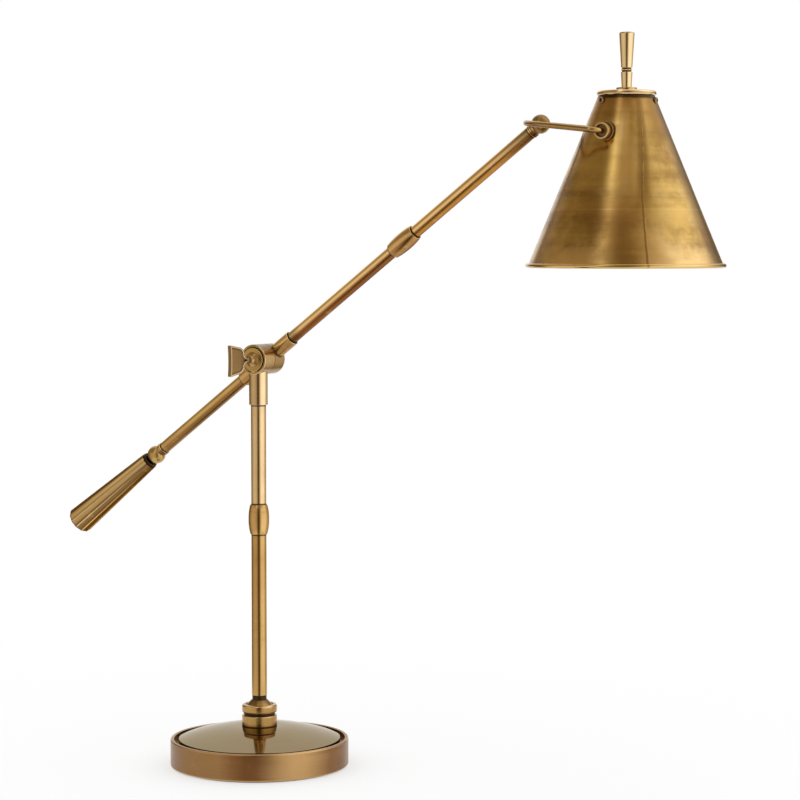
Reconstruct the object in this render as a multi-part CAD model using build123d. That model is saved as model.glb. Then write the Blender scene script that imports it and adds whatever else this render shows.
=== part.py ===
from build123d import *
import os
from math import cos, radians, sin

# Lengths are millimetres, angles are degrees.
# The origin is the centre of the base's underside, +Z is up and +X points to the shade.
# The stem stands on the Z axis; the boom swings beside it in a plane parallel to XZ.

# Fits and cuts
overrun = 2.0  # how far a cutter runs past the face it opens
fit = 0.05  # radial clearance of seats and running pins
face_gap = 0.1  # gap between flat faces that turn on each other
edge_ease = 0.4  # small rounding of turned edges

# Base
base_r = 93.5
base_h = 29.7
rim_wall = 3.8
rim_round = 2.0
rim_lip_round = 0.8
rim_lift = 1.2  # lower edge of the rim above the table
felt_t = 2.0
felt_margin = 1.5
cover_t = 2.0
base_room = 0.5  # radial room between the rim and what lies inside it
groove_w = 4.9
groove_depth = 7.0
ledge_t = 3.0
ledge_w = 8.0
plate_wall = 1.8
plate_rise = 13.0
plate_drop = 0.3  # edge of the plate below the top of the rim
plate_round = 1.0
weight_step = 2.0  # raised middle of the weight above the ledge's underside
cover_screw_circle_r = 60.0
cover_screw_r = 1.8
cover_screw_head_r = 3.2
cover_screw_head_h = 1.6
cover_screw_length = 12.0
cover_screw_angles = (-90, 30, 150)
bushing_r = 4.9
bushing_bore_r = 3.2
bushing_flange_r = 6.6
bushing_flange_t = 1.4
bushing_tail = 3.0  # length of the bushing inside the rim wall
bushing_z = 11.0
slot_room = 1.0  # room round the lead in the weight's slot

# Rod and foot
rod_r = 5.0
rod_bore_r = 3.3
rod_gap = 0.5  # end of the rod above the cover
rod_end = 1.0  # rod beyond the locknut
rod_nut_r = 8.6
rod_nut_h = 6.0
rod_washer_r = 12.0
rod_washer_t = 1.6
pocket_room = 1.5  # radial room round the washer in the weight's pocket
rod_room = 0.3
foot_r = 18.4
foot_ring_h = 11.4
foot_round = 1.2
seat_margin = 1.2  # flat seat on the plate beyond the foot ring
swivel_washer_r = 16.3
swivel_washer_t = 2.4
collar_ring_h = 8.8
collar_round = 2.8
collar_step = 0.7  # depth of the dark line at the foot of the cone
cone_foot_r = 14.2
cone_top_r = 8.4
cone_h = 4.6
cone_sag = 0.8  # hollow of the cone's side
neck_r = 7.5
neck_h = 4.3
neck_groove_r = 7.25
neck_groove_h = 0.6
collar_spigot_h = 12.0
locknut_r = 6.8
locknut_h = 4.0

# Stem
stem_r = 7.95
stem_wall = 0.8
stem_coupling_z = 260.0  # middle of the barrel
stem_coupling_length = 30.9
stem_coupling_r = 10.95
stem_coupling_end_r = 8.9
sleeve_top_drop = 5.6  # sleeve's upper end below the clamp cylinder
stem_sleeve_r = 9.7
stem_sleeve_length = 26.0
lead_r = 2.4
lead_gap = 0.2  # lead to tube wall
lead_end_gap = 2.0

# Couplings
coupling_rib = 4.0  # stop between the two tube ends
coupling_mouth_share = 0.5  # width of the dark gap round the tube, of the wall at an open end
coupling_mouth_depth = 2.5

# Clamp
clamp_z = 427.5
clamp_r = 15.85
head_front = 9.9
head_back = 8.0
block_length = 19.5
block_round = 2.6
head_round = 1.0
recess_r = 13.4
recess_depth = 1.5
head_spigot_h = 12.0
clearance = 0.3  # between parts of different bodies that pass each other
screw_r = 4.0
thumb_washer_r = 12.4
thumb_washer_t = 2.4
lead_hole_r = 2.8
lead_channel_r = 9.2  # radius of the ring channel that leads the wire across
lead_channel_depth = 4.0
nut_r = 7.4
nut_h = 6.0
nut_sink = 4.0  # depth of the nut in the block's far face
nut_dome_h = 3.0

# Thumb wing
wing_reach = 41.0  # from the washer's face to the outer end
wing_end_h = 32.8
wing_end_hollow = 1.0
wing_shoulder_reach = 18.4
wing_shoulder_h = 26.6
wing_neck_reach = 9.6
wing_neck_h = 7.4
wing_t = 4.2
wing_border = 2.9
wing_pocket_depth = 1.1
wing_round = 1.6
hub_r = 8.0
hub_neck_r = 3.3
hub_h = 5.2

# Boom
boom_angle = 36.2
boom_length = 401.0  # clamp axis to tip ball
boom_r = 6.35
boom_wall = 0.8
boom_sleeve_r = 8.0
boom_sleeve_end = 37.9
socket_start = 8.0  # inner end of the sleeve sockets from the clamp axis
boom_coupling_s = 207.2
boom_coupling_length = 32.5
boom_coupling_r = 9.55
boom_coupling_end_r = 8.1
tip_ball_r = 9.35
tip_collar_r = 7.0
tip_collar_length = 3.4
ball_socket_depth = 4.6  # tube's end from the ball's centre

# Rear of the boom
rear_ball_s = 181.9
rear_ball_r = 9.7
rear_collar_r = 7.0
rear_collar_length = 3.4
stud_r = 4.5
stud_length = 14.0  # inside the weight
stud_collar_r = 8.6
stud_collar_h = 3.0
stud_collar_round = 1.2
weight_start_s = 193.8
weight_length = 120.8
weight_small_r = 9.5
weight_big_r = 15.3
weight_round = 3.2
weight_facets = 12

# Fork
fork_length = 93.6  # tip ball to shade hinge
fork_drop = 6.4
fork_r = 2.7
fork_bore_r = 1.5
fork_corner_r = 46.0
fork_bend_r = 8.4
fork_standoff = 10.7  # leg's centre line beyond the pivot cap
pin_r = 2.5
pin_head_r = 5.0
pin_head_depth = 5.0
pin_end = 1.6  # pin inside the cap
saddle_r = 9.0
saddle_lip = 0.6
ring_r = 7.1
ring_t = 2.4
ring_round = 0.8
cap_r = 7.8
cap_t = 5.0
cap_web = 2.0
cap_cup_r = 5.9
cap_cup_depth = 2.4

# Shade
shade_h = 164.1
shade_top_r = 27.1
shade_bottom_r = 94.6
shade_wall = 0.8
hinge_depth = 35.0  # hinge below the shade's upper edge
bead_r = 96.2
bead_h = 4.4
bead_round = 1.9
bead_w = 3.4
lid_r = 28.6
lid_h = 4.8
lid_top_t = 1.8
lid_round = 2.1
skirt_r = 25.9
skirt_wall = 1.5
skirt_h = 9.0
lid_screw_drop = 5.0  # screw axis below the shade's upper edge
lid_screw_r = 1.4
lid_screw_head_r = 3.1
lid_screw_head_h = 2.2
lid_screw_length = 4.0  # inside the skirt
lid_screw_angles = (5, 125, 245)

# Switch and knob
knob_washer_r = 10.0
knob_washer_t = 3.2
knob_washer_round = 0.8
knob_stem_h = 14.6
knob_stem_low_r = 4.75
knob_stem_top_r = 5.6
knob_groove_h = 3.8
knob_groove_r = 4.6
knob_bead_r = 5.2
knob_bead_h = 2.2
knob_h = 34.0
knob_low_r = 5.4
knob_top_r = 7.5
knob_round = 1.6
spindle_r = 2.0
spindle_in_knob = 20.0
switch_r = 13.0
switch_h = 24.0
switch_neck_r = 3.6
switch_neck_h = 8.0
spindle_depth = 10.0  # spindle inside the switch body

# Lampholder and bulb
holder_r = 17.0
holder_h = 30.0
holder_floor = 6.0
holder_wall = 2.6
socket_wall = 0.7
contact_r = 4.0
contact_t = 1.2
bulb_cap_r = 13.2
bulb_cap_h = 24.0
bulb_cap_wall = 0.6
bulb_cap_floor = 1.5
bulb_tip_r = 4.5
bulb_tip_h = 1.0
bulb_gap = 0.3
bulb_neck_r = 12.2
bulb_neck_h = 26.0  # straight neck, partly inside the cap
bulb_r = 30.0
bulb_glass_h = 100.0
bulb_wall = 0.8

# Derived places
rim_inner_r = base_r - rim_wall
inner_r = rim_inner_r - base_room
plate_r = rim_inner_r - groove_w
ledge_z = base_h - groove_depth
ledge_r = plate_r - ledge_w
ledge_low_z = ledge_z - ledge_t
cover_top = felt_t + cover_t
plate_edge_z = base_h - plate_drop
crown_z = plate_edge_z + plate_rise
seat_r = foot_r + seat_margin
rod_low_z = cover_top + rod_gap
pocket_top = rod_low_z + rod_nut_h + rod_washer_t
foot_top = crown_z + foot_ring_h
collar_z = foot_top + swivel_washer_t + face_gap
collar_top = collar_z + collar_ring_h
cone_top_z = collar_top + cone_h
stem_z = cone_top_z + neck_h + neck_groove_h
collar_spigot_z = stem_z + collar_spigot_h
locknut_z = collar_spigot_z + face_gap
rod_top_z = locknut_z + locknut_h + rod_end

stem_bore_r = stem_r - stem_wall
sleeve_top_z = clamp_z - clamp_r - sleeve_top_drop
head_spigot_z = sleeve_top_z - head_spigot_h
block_near = head_back + face_gap
block_far = block_near + block_length
boom_y = block_near + block_length / 2
boom_bore_r = boom_r - boom_wall
boom_place = Pos(0, boom_y, clamp_z) * Rot(0, 90 - boom_angle, 0)
tip_x = boom_length * cos(radians(boom_angle))
tip_z = clamp_z + boom_length * sin(radians(boom_angle))
washer_low = head_front - recess_depth + face_gap
washer_face = washer_low + thumb_washer_t

fork_place = Pos(tip_x, boom_y, tip_z) * Rot(0, fork_drop, 0)
hinge_x = tip_x + fork_length * cos(radians(fork_drop))
hinge_z = tip_z - fork_length * sin(radians(fork_drop))
shade_z = hinge_z + hinge_depth
shade_place = Pos(hinge_x, boom_y, shade_z)
shade_slope = (shade_bottom_r - shade_top_r) / shade_h
saddle_face = shade_top_r + shade_slope * (hinge_depth + saddle_r) + saddle_lip
ring_low = saddle_face + face_gap
cap_low = ring_low + ring_t
cap_face = cap_low + cap_t
fork_half_w = cap_face + fork_standoff
pivot_sides = {"front": 90, "back": -90}

lid_under = lid_h - lid_top_t
stem_low = lid_h + knob_washer_t
stem_top = stem_low + knob_stem_h
knob_low = stem_top + face_gap
grip_low = knob_low + knob_groove_h
knob_top = grip_low + knob_h
switch_low = lid_under - switch_h
holder_low = switch_low - holder_h
socket_r = holder_r - holder_wall - fit
contact_low = switch_low - holder_floor - contact_t
bulb_tip_top = contact_low - bulb_gap
bulb_cap_top = bulb_tip_top - bulb_tip_h
bulb_cap_low = bulb_cap_top - bulb_cap_h


def turned(*profile):
    """Turn a closed outline about Z; each corner is (radius, height) or (radius, height, rounding)."""
    points = [corner[:2] for corner in profile]
    roundings = [corner[2] if len(corner) > 2 else 0 for corner in profile]
    outline = FilletPolyline(points, radius=roundings, close=True)
    return revolve(make_face(Plane.XZ * outline), Axis.Z)


def tube(outer_r, inner_r, low, high, rounding=0):
    """Plain tube along Z with both outer edges rounded."""
    return turned((inner_r, low), (outer_r, low, rounding), (outer_r, high, rounding), (inner_r, high))


def disc(radius, low, high, rounding=0):
    """Plain disc along Z with both outer edges rounded."""
    return turned((0, low), (radius, low, rounding), (radius, high, rounding), (0, high))


def hexagon(radius, low, high):
    """Six-sided prism along Z, radius to its corners."""
    return Pos(0, 0, low) * extrude(RegularPolygon(radius, 6), high - low)


def to_front(solid):
    """Lay a solid on the clamp axis, its +Z turned to the front, -Y."""
    return Pos(0, 0, clamp_z) * Rot(90, 0, 0) * solid


def around(angles, solid):
    """Copies of a solid turned about Z to each angle."""
    return [Rot(0, 0, angle) * solid for angle in angles]


def node(name, *solids):
    """Write the solids of one named piece."""
    shape = solids[0] if len(solids) == 1 else Compound(children=list(solids))
    export_step(shape, f"parts/{name}.step")


def coupling(tube_r, tube_wall, end_r, middle_r, length):
    """Barrel that joins two tubes, about the middle of Z, with a narrow mouth round each tube."""
    half = length / 2
    mouth_r = tube_r + coupling_mouth_share * (end_r - tube_r)
    barrel = make_face(Plane.XZ * (
        ThreePointArc((end_r, -half), (middle_r, 0), (end_r, half))
        + Polyline((end_r, half), (0, half), (0, -half), (end_r, -half))))
    body = fillet(revolve(barrel, Axis.Z).edges(), edge_ease / 2)
    for side in (0, 180):
        socket = disc(tube_r + fit, coupling_rib / 2, half + overrun)
        mouth = disc(mouth_r, half - coupling_mouth_depth, half + overrun)
        body -= Rot(side, 0, 0) * (socket + mouth)
    return body - disc(tube_r - tube_wall, -half, half)


def base_rim():
    """Ring wall with the ledge that carries the plate, pierced at the back for the bushing."""
    ring = turned(
        (rim_inner_r, rim_lift), (base_r, rim_lift, rim_round), (base_r, base_h, rim_round),
        (rim_inner_r, base_h, rim_lip_round), (rim_inner_r, ledge_z), (ledge_r, ledge_z),
        (ledge_r, ledge_low_z), (rim_inner_r, ledge_low_z))
    return ring - at_back(disc(bushing_r + fit, inner_r, base_r + overrun))


def at_back(solid):
    """Lay a solid on the bushing's axis, its +Z pointing out of the back of the base, +Y."""
    return Pos(0, 0, bushing_z) * Rot(-90, 0, 0) * solid


def cord_bushing():
    """Flanged bush in the rim wall."""
    inner_end = rim_inner_r - bushing_tail
    flange_face = base_r + bushing_flange_t
    return at_back(turned(
        (bushing_bore_r, inner_end), (bushing_r, inner_end), (bushing_r, base_r), (bushing_flange_r, base_r),
        (bushing_flange_r, flange_face, edge_ease), (bushing_bore_r, flange_face)))


def base_plate():
    """Domed plate with a skirt that stands on the ledge and a flat seat for the foot."""
    skirt_inner_r = plate_r - plate_wall
    low_crown = crown_z - plate_wall
    low_edge = plate_edge_z - plate_wall
    hole_r = rod_r + rod_room
    section = make_face(Plane.XZ * (
        TangentArc((seat_r, crown_z), (plate_r, plate_edge_z), tangent=(1, 0))
        + Polyline((plate_r, plate_edge_z), (plate_r, ledge_z), (skirt_inner_r, ledge_z),
                   (skirt_inner_r, low_edge))
        + TangentArc((seat_r, low_crown), (skirt_inner_r, low_edge), tangent=(1, 0))
        + Polyline((seat_r, low_crown), (hole_r, low_crown), (hole_r, crown_z), (seat_r, crown_z))))
    corner = section.vertices().sort_by_distance((plate_r, 0, plate_edge_z))[0]
    return revolve(fillet(corner, plate_round), Axis.Z)


def base_weight():
    """Cast weight with a pocket for the nut, a slot for the lead and holes for the cover screws."""
    middle_r = ledge_r - base_room
    body = turned(
        (0, cover_top), (inner_r, cover_top), (inner_r, ledge_low_z), (middle_r, ledge_low_z),
        (middle_r, ledge_low_z + weight_step), (0, ledge_low_z + weight_step))
    body -= disc(rod_r + rod_room, cover_top, ledge_low_z + weight_step + overrun)
    body -= disc(rod_washer_r + pocket_room, cover_top - overrun, pocket_top)
    slot_half = bushing_r + slot_room
    slot_top = bushing_z + slot_half
    body -= Pos(0, (inner_r + overrun) / 2, (cover_top + slot_top) / 2) * Box(
        2 * slot_half, inner_r + overrun, slot_top - cover_top)
    hole = disc(cover_screw_r + fit, cover_top - overrun, felt_t + cover_screw_length + fit)
    for cutter in around(cover_screw_angles, Pos(cover_screw_circle_r, 0, 0) * hole):
        body -= cutter
    return body


def cover_screw(room=0):
    """Countersunk screw under the base, grown by the room it needs as a hole."""
    head_r = cover_screw_head_r + room
    shank_r = cover_screw_r + room
    return Pos(cover_screw_circle_r, 0, 0) * turned(
        (0, felt_t), (head_r, felt_t), (shank_r, felt_t + cover_screw_head_h),
        (shank_r, felt_t + cover_screw_length), (0, felt_t + cover_screw_length))


def base_cover():
    """Bottom plate with countersunk holes."""
    plate = disc(inner_r, felt_t, cover_top)
    for cutter in around(cover_screw_angles, cover_screw(fit)):
        plate -= cutter
    return plate


def foot_collar():
    """Turning collar: rounded ring, hollow-sided cone, neck and the spigot that carries the stem."""
    bore_r = rod_r + fit
    spigot_r = stem_bore_r - fit
    middle_r = (cone_foot_r + cone_top_r) / 2 - cone_sag
    neck_top = cone_top_z + neck_h
    cone_low = collar_top - collar_step
    ring = turned(
        (bore_r, collar_z), (foot_r, collar_z, collar_round), (foot_r, collar_top, collar_round),
        (cone_foot_r, collar_top), (cone_foot_r, cone_low), (bore_r, cone_low))
    cone = make_face(Plane.XZ * (
        ThreePointArc((cone_foot_r - collar_step, cone_low), (middle_r, (cone_low + cone_top_z) / 2),
                      (cone_top_r, cone_top_z))
        + Polyline((cone_top_r, cone_top_z), (neck_r, cone_top_z), (neck_r, neck_top),
                   (neck_groove_r, neck_top), (neck_groove_r, stem_z), (spigot_r, stem_z),
                   (spigot_r, collar_spigot_z), (bore_r, collar_spigot_z), (bore_r, cone_low),
                   (cone_foot_r - collar_step, cone_low))))
    return ring + revolve(cone, Axis.Z)


def stem_lead():
    """Lead lying along the wall of the stem tubes."""
    offset = stem_bore_r - lead_r - lead_gap
    return Pos(0, offset, 0) * disc(lead_r, rod_top_z + lead_end_gap, head_spigot_z - lead_end_gap)


def clamp_head():
    """Front half of the clamp: a cross cylinder on a short boss, with a spigot for the stem."""
    body = to_front(disc(clamp_r, -head_back, head_front, head_round))
    body += disc(stem_sleeve_r, sleeve_top_z, clamp_z)
    body -= to_front(disc(clamp_r + clearance, -stem_sleeve_r - overrun, -head_back))
    body += disc(stem_bore_r - fit, head_spigot_z, sleeve_top_z)
    body -= to_front(disc(recess_r, head_front - recess_depth, head_front + overrun))
    body -= to_front(disc(screw_r + fit, -head_back - overrun, head_front))
    lead_z = clamp_z - lead_channel_r
    body -= disc(lead_hole_r, head_spigot_z - overrun, lead_z)
    body -= Pos(0, 0, lead_z) * Rot(-90, 0, 0) * disc(lead_hole_r, 0, head_back + overrun)
    return body - Pos(0, 0, lead_z) * Sphere(lead_hole_r)


def boom_block():
    """Rear half of the clamp: sockets for both sleeves, the screw's bore and the lead's ring channel."""
    body = to_front(turned(
        (screw_r + fit, -block_near), (clamp_r, -block_near, edge_ease), (clamp_r, -block_far, block_round),
        (screw_r + fit, -block_far)))
    body -= to_front(tube(lead_channel_r + lead_hole_r / 2, lead_channel_r - lead_hole_r / 2,
                          -block_near - lead_channel_depth, -block_near + overrun))
    body -= to_front(disc(nut_r + clearance, -block_far - overrun, -block_far + nut_sink))
    for side in (0, 180):
        body -= boom_place * Rot(0, side, 0) * disc(boom_sleeve_r + fit, socket_start, clamp_r + overrun)
    return body


def clamp_nut():
    """Domed nut let into the block's far face."""
    nut = hexagon(nut_r, nut_sink - nut_h, nut_sink)
    nut += turned((0, nut_sink - nut_h), (nut_r * cos(radians(30)), nut_sink - nut_h),
                  (screw_r, nut_sink - nut_h - nut_dome_h), (0, nut_sink - nut_h - nut_dome_h))
    nut -= disc(screw_r + fit, nut_sink - nut_h, nut_sink + overrun)
    return to_front(Pos(0, 0, -block_far) * nut)


def clamp_screw():
    """Screw shaft from the wing's hub to the far nut."""
    return to_front(disc(screw_r, -block_far + nut_sink - nut_h + face_gap, washer_face))


def thumb_washer():
    """Disc in the head's recess."""
    return to_front(tube(thumb_washer_r, screw_r + fit, washer_low, washer_face, edge_ease))


def wing_outline():
    """Outline of the wing from the hub to its hollow outer end, in (reach, height)."""
    neck = (wing_neck_reach, wing_neck_h / 2)
    shoulder = (wing_shoulder_reach, wing_shoulder_h / 2)
    tip = (wing_reach, wing_end_h / 2)
    end_middle = (wing_reach - wing_end_hollow, 0)
    mirrored_tip = (wing_reach, -wing_end_h / 2)
    mirrored_shoulder = (wing_shoulder_reach, -wing_shoulder_h / 2)
    mirrored_neck = (wing_neck_reach, -wing_neck_h / 2)
    hub_top = (0, wing_neck_h / 2)
    hub_bottom = (0, -wing_neck_h / 2)
    return make_face(
        Line(hub_top, neck) + TangentArc(neck, shoulder, tangent=(1, 0)) + Line(shoulder, tip)
        + ThreePointArc(tip, end_middle, mirrored_tip) + Line(mirrored_tip, mirrored_shoulder)
        + TangentArc(mirrored_neck, mirrored_shoulder, tangent=(1, 0)) + Line(mirrored_neck, hub_bottom)
        + Line(hub_bottom, hub_top))


def wing_pocket():
    """Sunk panel of the wing, a border's width inside its outline."""
    point = (wing_neck_reach + wing_border, 0)
    shoulder = (wing_shoulder_reach + wing_border / 2, wing_shoulder_h / 2 - wing_border)
    corner = (wing_reach - wing_border, wing_end_h / 2 - wing_border)
    low_corner = (corner[0], -corner[1])
    low_shoulder = (shoulder[0], -shoulder[1])
    end_middle = (corner[0] - wing_end_hollow, 0)
    return make_face(
        TangentArc(point, shoulder, tangent=(1, 0)) + Line(shoulder, corner)
        + ThreePointArc(corner, end_middle, low_corner) + Line(low_corner, low_shoulder)
        + TangentArc(point, low_shoulder, tangent=(1, 0)))


def thumb_wing():
    """Fan-shaped wing with a sunk panel on each face, on a round hub."""
    plate = extrude(wing_outline(), wing_t / 2, both=True)
    corners = plate.edges().filter_by(Axis.Z).group_by(Axis.X)[-1]
    plate = fillet(corners, wing_round)
    sunk = wing_t / 2 - wing_pocket_depth
    pocket = extrude(wing_pocket(), wing_pocket_depth + overrun)
    plate -= Pos(0, 0, sunk) * pocket
    plate -= Rot(180, 0, 0) * Pos(0, 0, sunk) * pocket
    stood = Rot(0, -90, 0) * plate
    hub = turned((0, 0), (hub_r, 0), (hub_neck_r, hub_h), (hub_neck_r, wing_neck_reach), (0, wing_neck_reach))
    return to_front(Pos(0, 0, washer_face) * (hub + stood))


def boom_lead():
    """Lead lying along the wall of the boom tubes."""
    offset = boom_bore_r - lead_r - lead_gap
    low = socket_start + lead_end_gap
    return Pos(offset, 0, 0) * disc(lead_r, low, boom_length - tip_ball_r - lead_end_gap)


def tip_ball():
    """Ball at the end of the boom, cross-bored for the fork."""
    ball = Sphere(tip_ball_r) - disc(boom_r + fit, -tip_ball_r - overrun, -ball_socket_depth)
    ball -= Rot(90, 0, 0) * disc(fork_r + fit, -tip_ball_r - overrun, tip_ball_r + overrun)
    return Pos(0, 0, boom_length) * ball


def rear_ball():
    """Ball between the rear tube and the counterweight's stud."""
    ball = Sphere(rear_ball_r) - disc(boom_r + fit, ball_socket_depth, rear_ball_r + overrun)
    ball -= disc(stud_r + fit, -rear_ball_r - overrun, -ball_socket_depth)
    return Pos(0, 0, -rear_ball_s) * ball


def weight_stud():
    """Stud from the rear ball into the counterweight, with the collar that the weight is screwed up to."""
    shaft = disc(stud_r, -weight_start_s - stud_length, -rear_ball_s - ball_socket_depth)
    return shaft + disc(stud_collar_r, -weight_start_s, stud_collar_h - weight_start_s, stud_collar_round)


def counterweight():
    """Tapered twelve-sided weight with a rounded big end, bored for the stud at the small end."""
    high = -weight_start_s
    low = high - weight_length
    small = Pos(0, 0, high) * RegularPolygon(weight_small_r, weight_facets)
    big = Pos(0, 0, low) * RegularPolygon(weight_big_r, weight_facets)
    body = loft([big, small])
    body &= turned((0, low), (weight_big_r, low, weight_round), (weight_big_r, high), (0, high))
    return body - disc(stud_r + fit, high - stud_length - fit, high)


def fork_tube():
    """Bent tube: crossbar through the tip ball, two legs, ends turned in to the pivots."""
    end = cap_low + cap_web + face_gap
    path = FilletPolyline(
        (fork_length, -end, 0), (fork_length, -fork_half_w, 0), (0, -fork_half_w, 0),
        (0, fork_half_w, 0), (fork_length, fork_half_w, 0), (fork_length, end, 0),
        radius=[fork_bend_r, fork_corner_r, fork_corner_r, fork_bend_r])
    start = Plane(origin=path @ 0, z_dir=path % 0)
    return fork_place * (sweep(start * Circle(fork_r), path) - sweep(start * Circle(fork_bore_r), path))


def at_pivot(side, solid):
    """Lay a solid on the shade's hinge axis, its +Z pointing away from the shade on one side."""
    return Pos(hinge_x, boom_y, hinge_z) * Rot(side, 0, 0) * solid


def pivot_cap():
    """Cup on the end of the fork: bored for the pin from inside and for the tube from outside."""
    middle = cap_low + cap_web
    cup_floor = cap_face - cap_cup_depth
    return turned(
        (pin_r + fit, cap_low), (cap_r, cap_low, edge_ease), (cap_r, cap_face, edge_ease),
        (cap_cup_r, cap_face), (cap_cup_r, cup_floor), (fork_r + fit, cup_floor), (fork_r + fit, middle),
        (pin_r + fit, middle))


def shade_cone(grow):
    """Solid cone of the shade's outside, grown square to the axis, running past both ends."""
    top_r = shade_top_r + grow - shade_slope * overrun
    bottom_r = shade_bottom_r + grow + shade_slope * overrun
    return turned((0, overrun), (top_r, overrun), (bottom_r, -shade_h - overrun), (0, -shade_h - overrun))


def pivot_saddle(side):
    """Round saddle between the cone and the flat pivot ring."""
    body = at_pivot(side, tube(saddle_r, pin_r + fit, 0, saddle_face, edge_ease))
    return body - shade_place * shade_cone(fit)


def pivot_pin(side):
    """Pin through the shade's wall, its head shaped to the inside of the cone."""
    inner = shade_place * shade_cone(-shade_wall - fit)
    wall_r = shade_top_r + shade_slope * hinge_depth
    head = at_pivot(side, disc(pin_head_r, wall_r - shade_wall - pin_head_depth, saddle_face)) & inner
    return head + at_pivot(side, disc(pin_r, wall_r - shade_wall - pin_head_depth, cap_low + pin_end))


def shade_shell():
    """Conical shell with a rolled rim, pierced for the pivots and the cap screws."""
    bead_low = -shade_h
    bead_top = bead_low + bead_h
    bead_wall_r = shade_bottom_r - shade_slope * bead_h
    shell = turned(
        (shade_top_r - shade_wall, 0), (shade_top_r, 0), (bead_wall_r, bead_top),
        (bead_r, bead_top, bead_round), (bead_r, bead_low, bead_round), (bead_r - bead_w, bead_low, edge_ease),
        (shade_bottom_r - shade_wall - shade_slope * bead_h, bead_top))
    shell = shade_place * shell
    for side in pivot_sides.values():
        shell -= at_pivot(side, disc(pin_r + fit, 0, saddle_face))
    for cutter in lid_screw_holes(lid_screw_r + fit):
        shell -= cutter
    return shell


def lid_screw_holes(radius):
    """Radial cutters on the three screw axes below the lid."""
    reach = shade_top_r + shade_slope * (lid_screw_drop + radius) + overrun
    cutter = Pos(0, 0, -lid_screw_drop) * Rot(0, 90, 0) * disc(radius, 0, reach)
    return [shade_place * turned_cutter for turned_cutter in around(lid_screw_angles, cutter)]


def lid_screw():
    """Round-headed screw through the shade into the lid's skirt."""
    seat_r_here = shade_top_r + shade_slope * lid_screw_drop
    head_top = seat_r_here + lid_screw_head_h + shade_slope * lid_screw_head_r
    shank = disc(lid_screw_r, skirt_r - lid_screw_length, seat_r_here)
    head = disc(lid_screw_head_r, 0, head_top, lid_screw_head_r / 2)
    laid = Pos(0, 0, -lid_screw_drop) * Rot(0, 90, 0)
    return laid * shank + (laid * head - shade_cone(0))


def shade_lid():
    """Rounded cap disc with a skirt inside the shade's top."""
    inner_skirt_r = skirt_r - skirt_wall
    hole_r = switch_neck_r + fit
    lid = turned(
        (hole_r, lid_under), (inner_skirt_r, lid_under), (inner_skirt_r, -skirt_h), (skirt_r, -skirt_h),
        (skirt_r, 0), (lid_r, 0, lid_round), (lid_r, lid_h, lid_round), (hole_r, lid_h))
    lid = shade_place * lid
    for cutter in lid_screw_holes(lid_screw_r + fit):
        lid -= cutter
    return lid


def knob_stem():
    """Fixed stem on the cap, screwed on the switch's neck."""
    neck_top = lid_under + switch_neck_h + fit
    return turned(
        (switch_neck_r + fit, stem_low), (knob_stem_low_r, stem_low), (knob_stem_top_r, stem_top, edge_ease),
        (spindle_r + fit, stem_top), (spindle_r + fit, neck_top), (switch_neck_r + fit, neck_top))


def switch_knob():
    """Tapered knob with a beaded groove at its foot, bored for the spindle."""
    bead_middle = knob_low + knob_groove_h / 2
    body = turned(
        (0, knob_low), (knob_groove_r, knob_low), (knob_groove_r, grip_low),
        (knob_low_r, grip_low, edge_ease), (knob_top_r, knob_top, knob_round), (0, knob_top))
    body += disc(knob_bead_r, bead_middle - knob_bead_h / 2, bead_middle + knob_bead_h / 2, edge_ease)
    return body - disc(spindle_r + fit, knob_low - overrun, knob_low + spindle_in_knob + fit)


def switch_spindle():
    """Spindle from the switch up into the knob."""
    return disc(spindle_r, lid_under - spindle_depth, knob_low + spindle_in_knob)


def switch_body():
    """Rotary switch under the cap, its neck through the cap."""
    body = disc(switch_r, switch_low, lid_under, edge_ease)
    neck_top = lid_under + switch_neck_h
    body += disc(switch_neck_r, lid_under, neck_top)
    return body - disc(spindle_r + fit, lid_under - spindle_depth - face_gap, neck_top + overrun)


def lampholder():
    """Insulating cup of the lampholder."""
    inner_holder_r = holder_r - holder_wall
    floor_z = switch_low - holder_floor
    return turned(
        (0, switch_low), (holder_r, switch_low, edge_ease), (holder_r, holder_low, edge_ease),
        (inner_holder_r, holder_low), (inner_holder_r, floor_z), (0, floor_z))


def bulb_cap():
    """Metal cap of the bulb with its tip contact."""
    inner_cap_r = bulb_cap_r - bulb_cap_wall
    floor_z = bulb_cap_top - bulb_cap_floor
    cap = turned(
        (0, bulb_cap_top), (bulb_cap_r, bulb_cap_top, edge_ease), (bulb_cap_r, bulb_cap_low),
        (inner_cap_r, bulb_cap_low), (inner_cap_r, floor_z), (0, floor_z))
    return cap + disc(bulb_tip_r, bulb_cap_top, bulb_tip_top)


def bulb_shape(shrink, top):
    """Pear-shaped solid of the bulb's glass, shrunk by a wall."""
    neck_r = bulb_neck_r - shrink
    ball_r = bulb_r - shrink
    low = bulb_cap_top - bulb_cap_floor - bulb_glass_h
    ball_z = low + bulb_r
    neck_z = bulb_cap_top - bulb_neck_h
    section = make_face(Plane.XZ * (
        Polyline((0, low + shrink), (0, top), (neck_r, top), (neck_r, neck_z))
        + Spline((neck_r, neck_z), (ball_r, ball_z), tangents=((0, -1), (0, -1)))
        + RadiusArc((ball_r, ball_z), (0, low + shrink), ball_r)))
    return revolve(section, Axis.Z)


def bulb_glass():
    """Glass envelope, open at the neck inside the cap."""
    top = bulb_cap_top - bulb_cap_floor
    return bulb_shape(0, top) - bulb_shape(bulb_wall, top + overrun)


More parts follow.
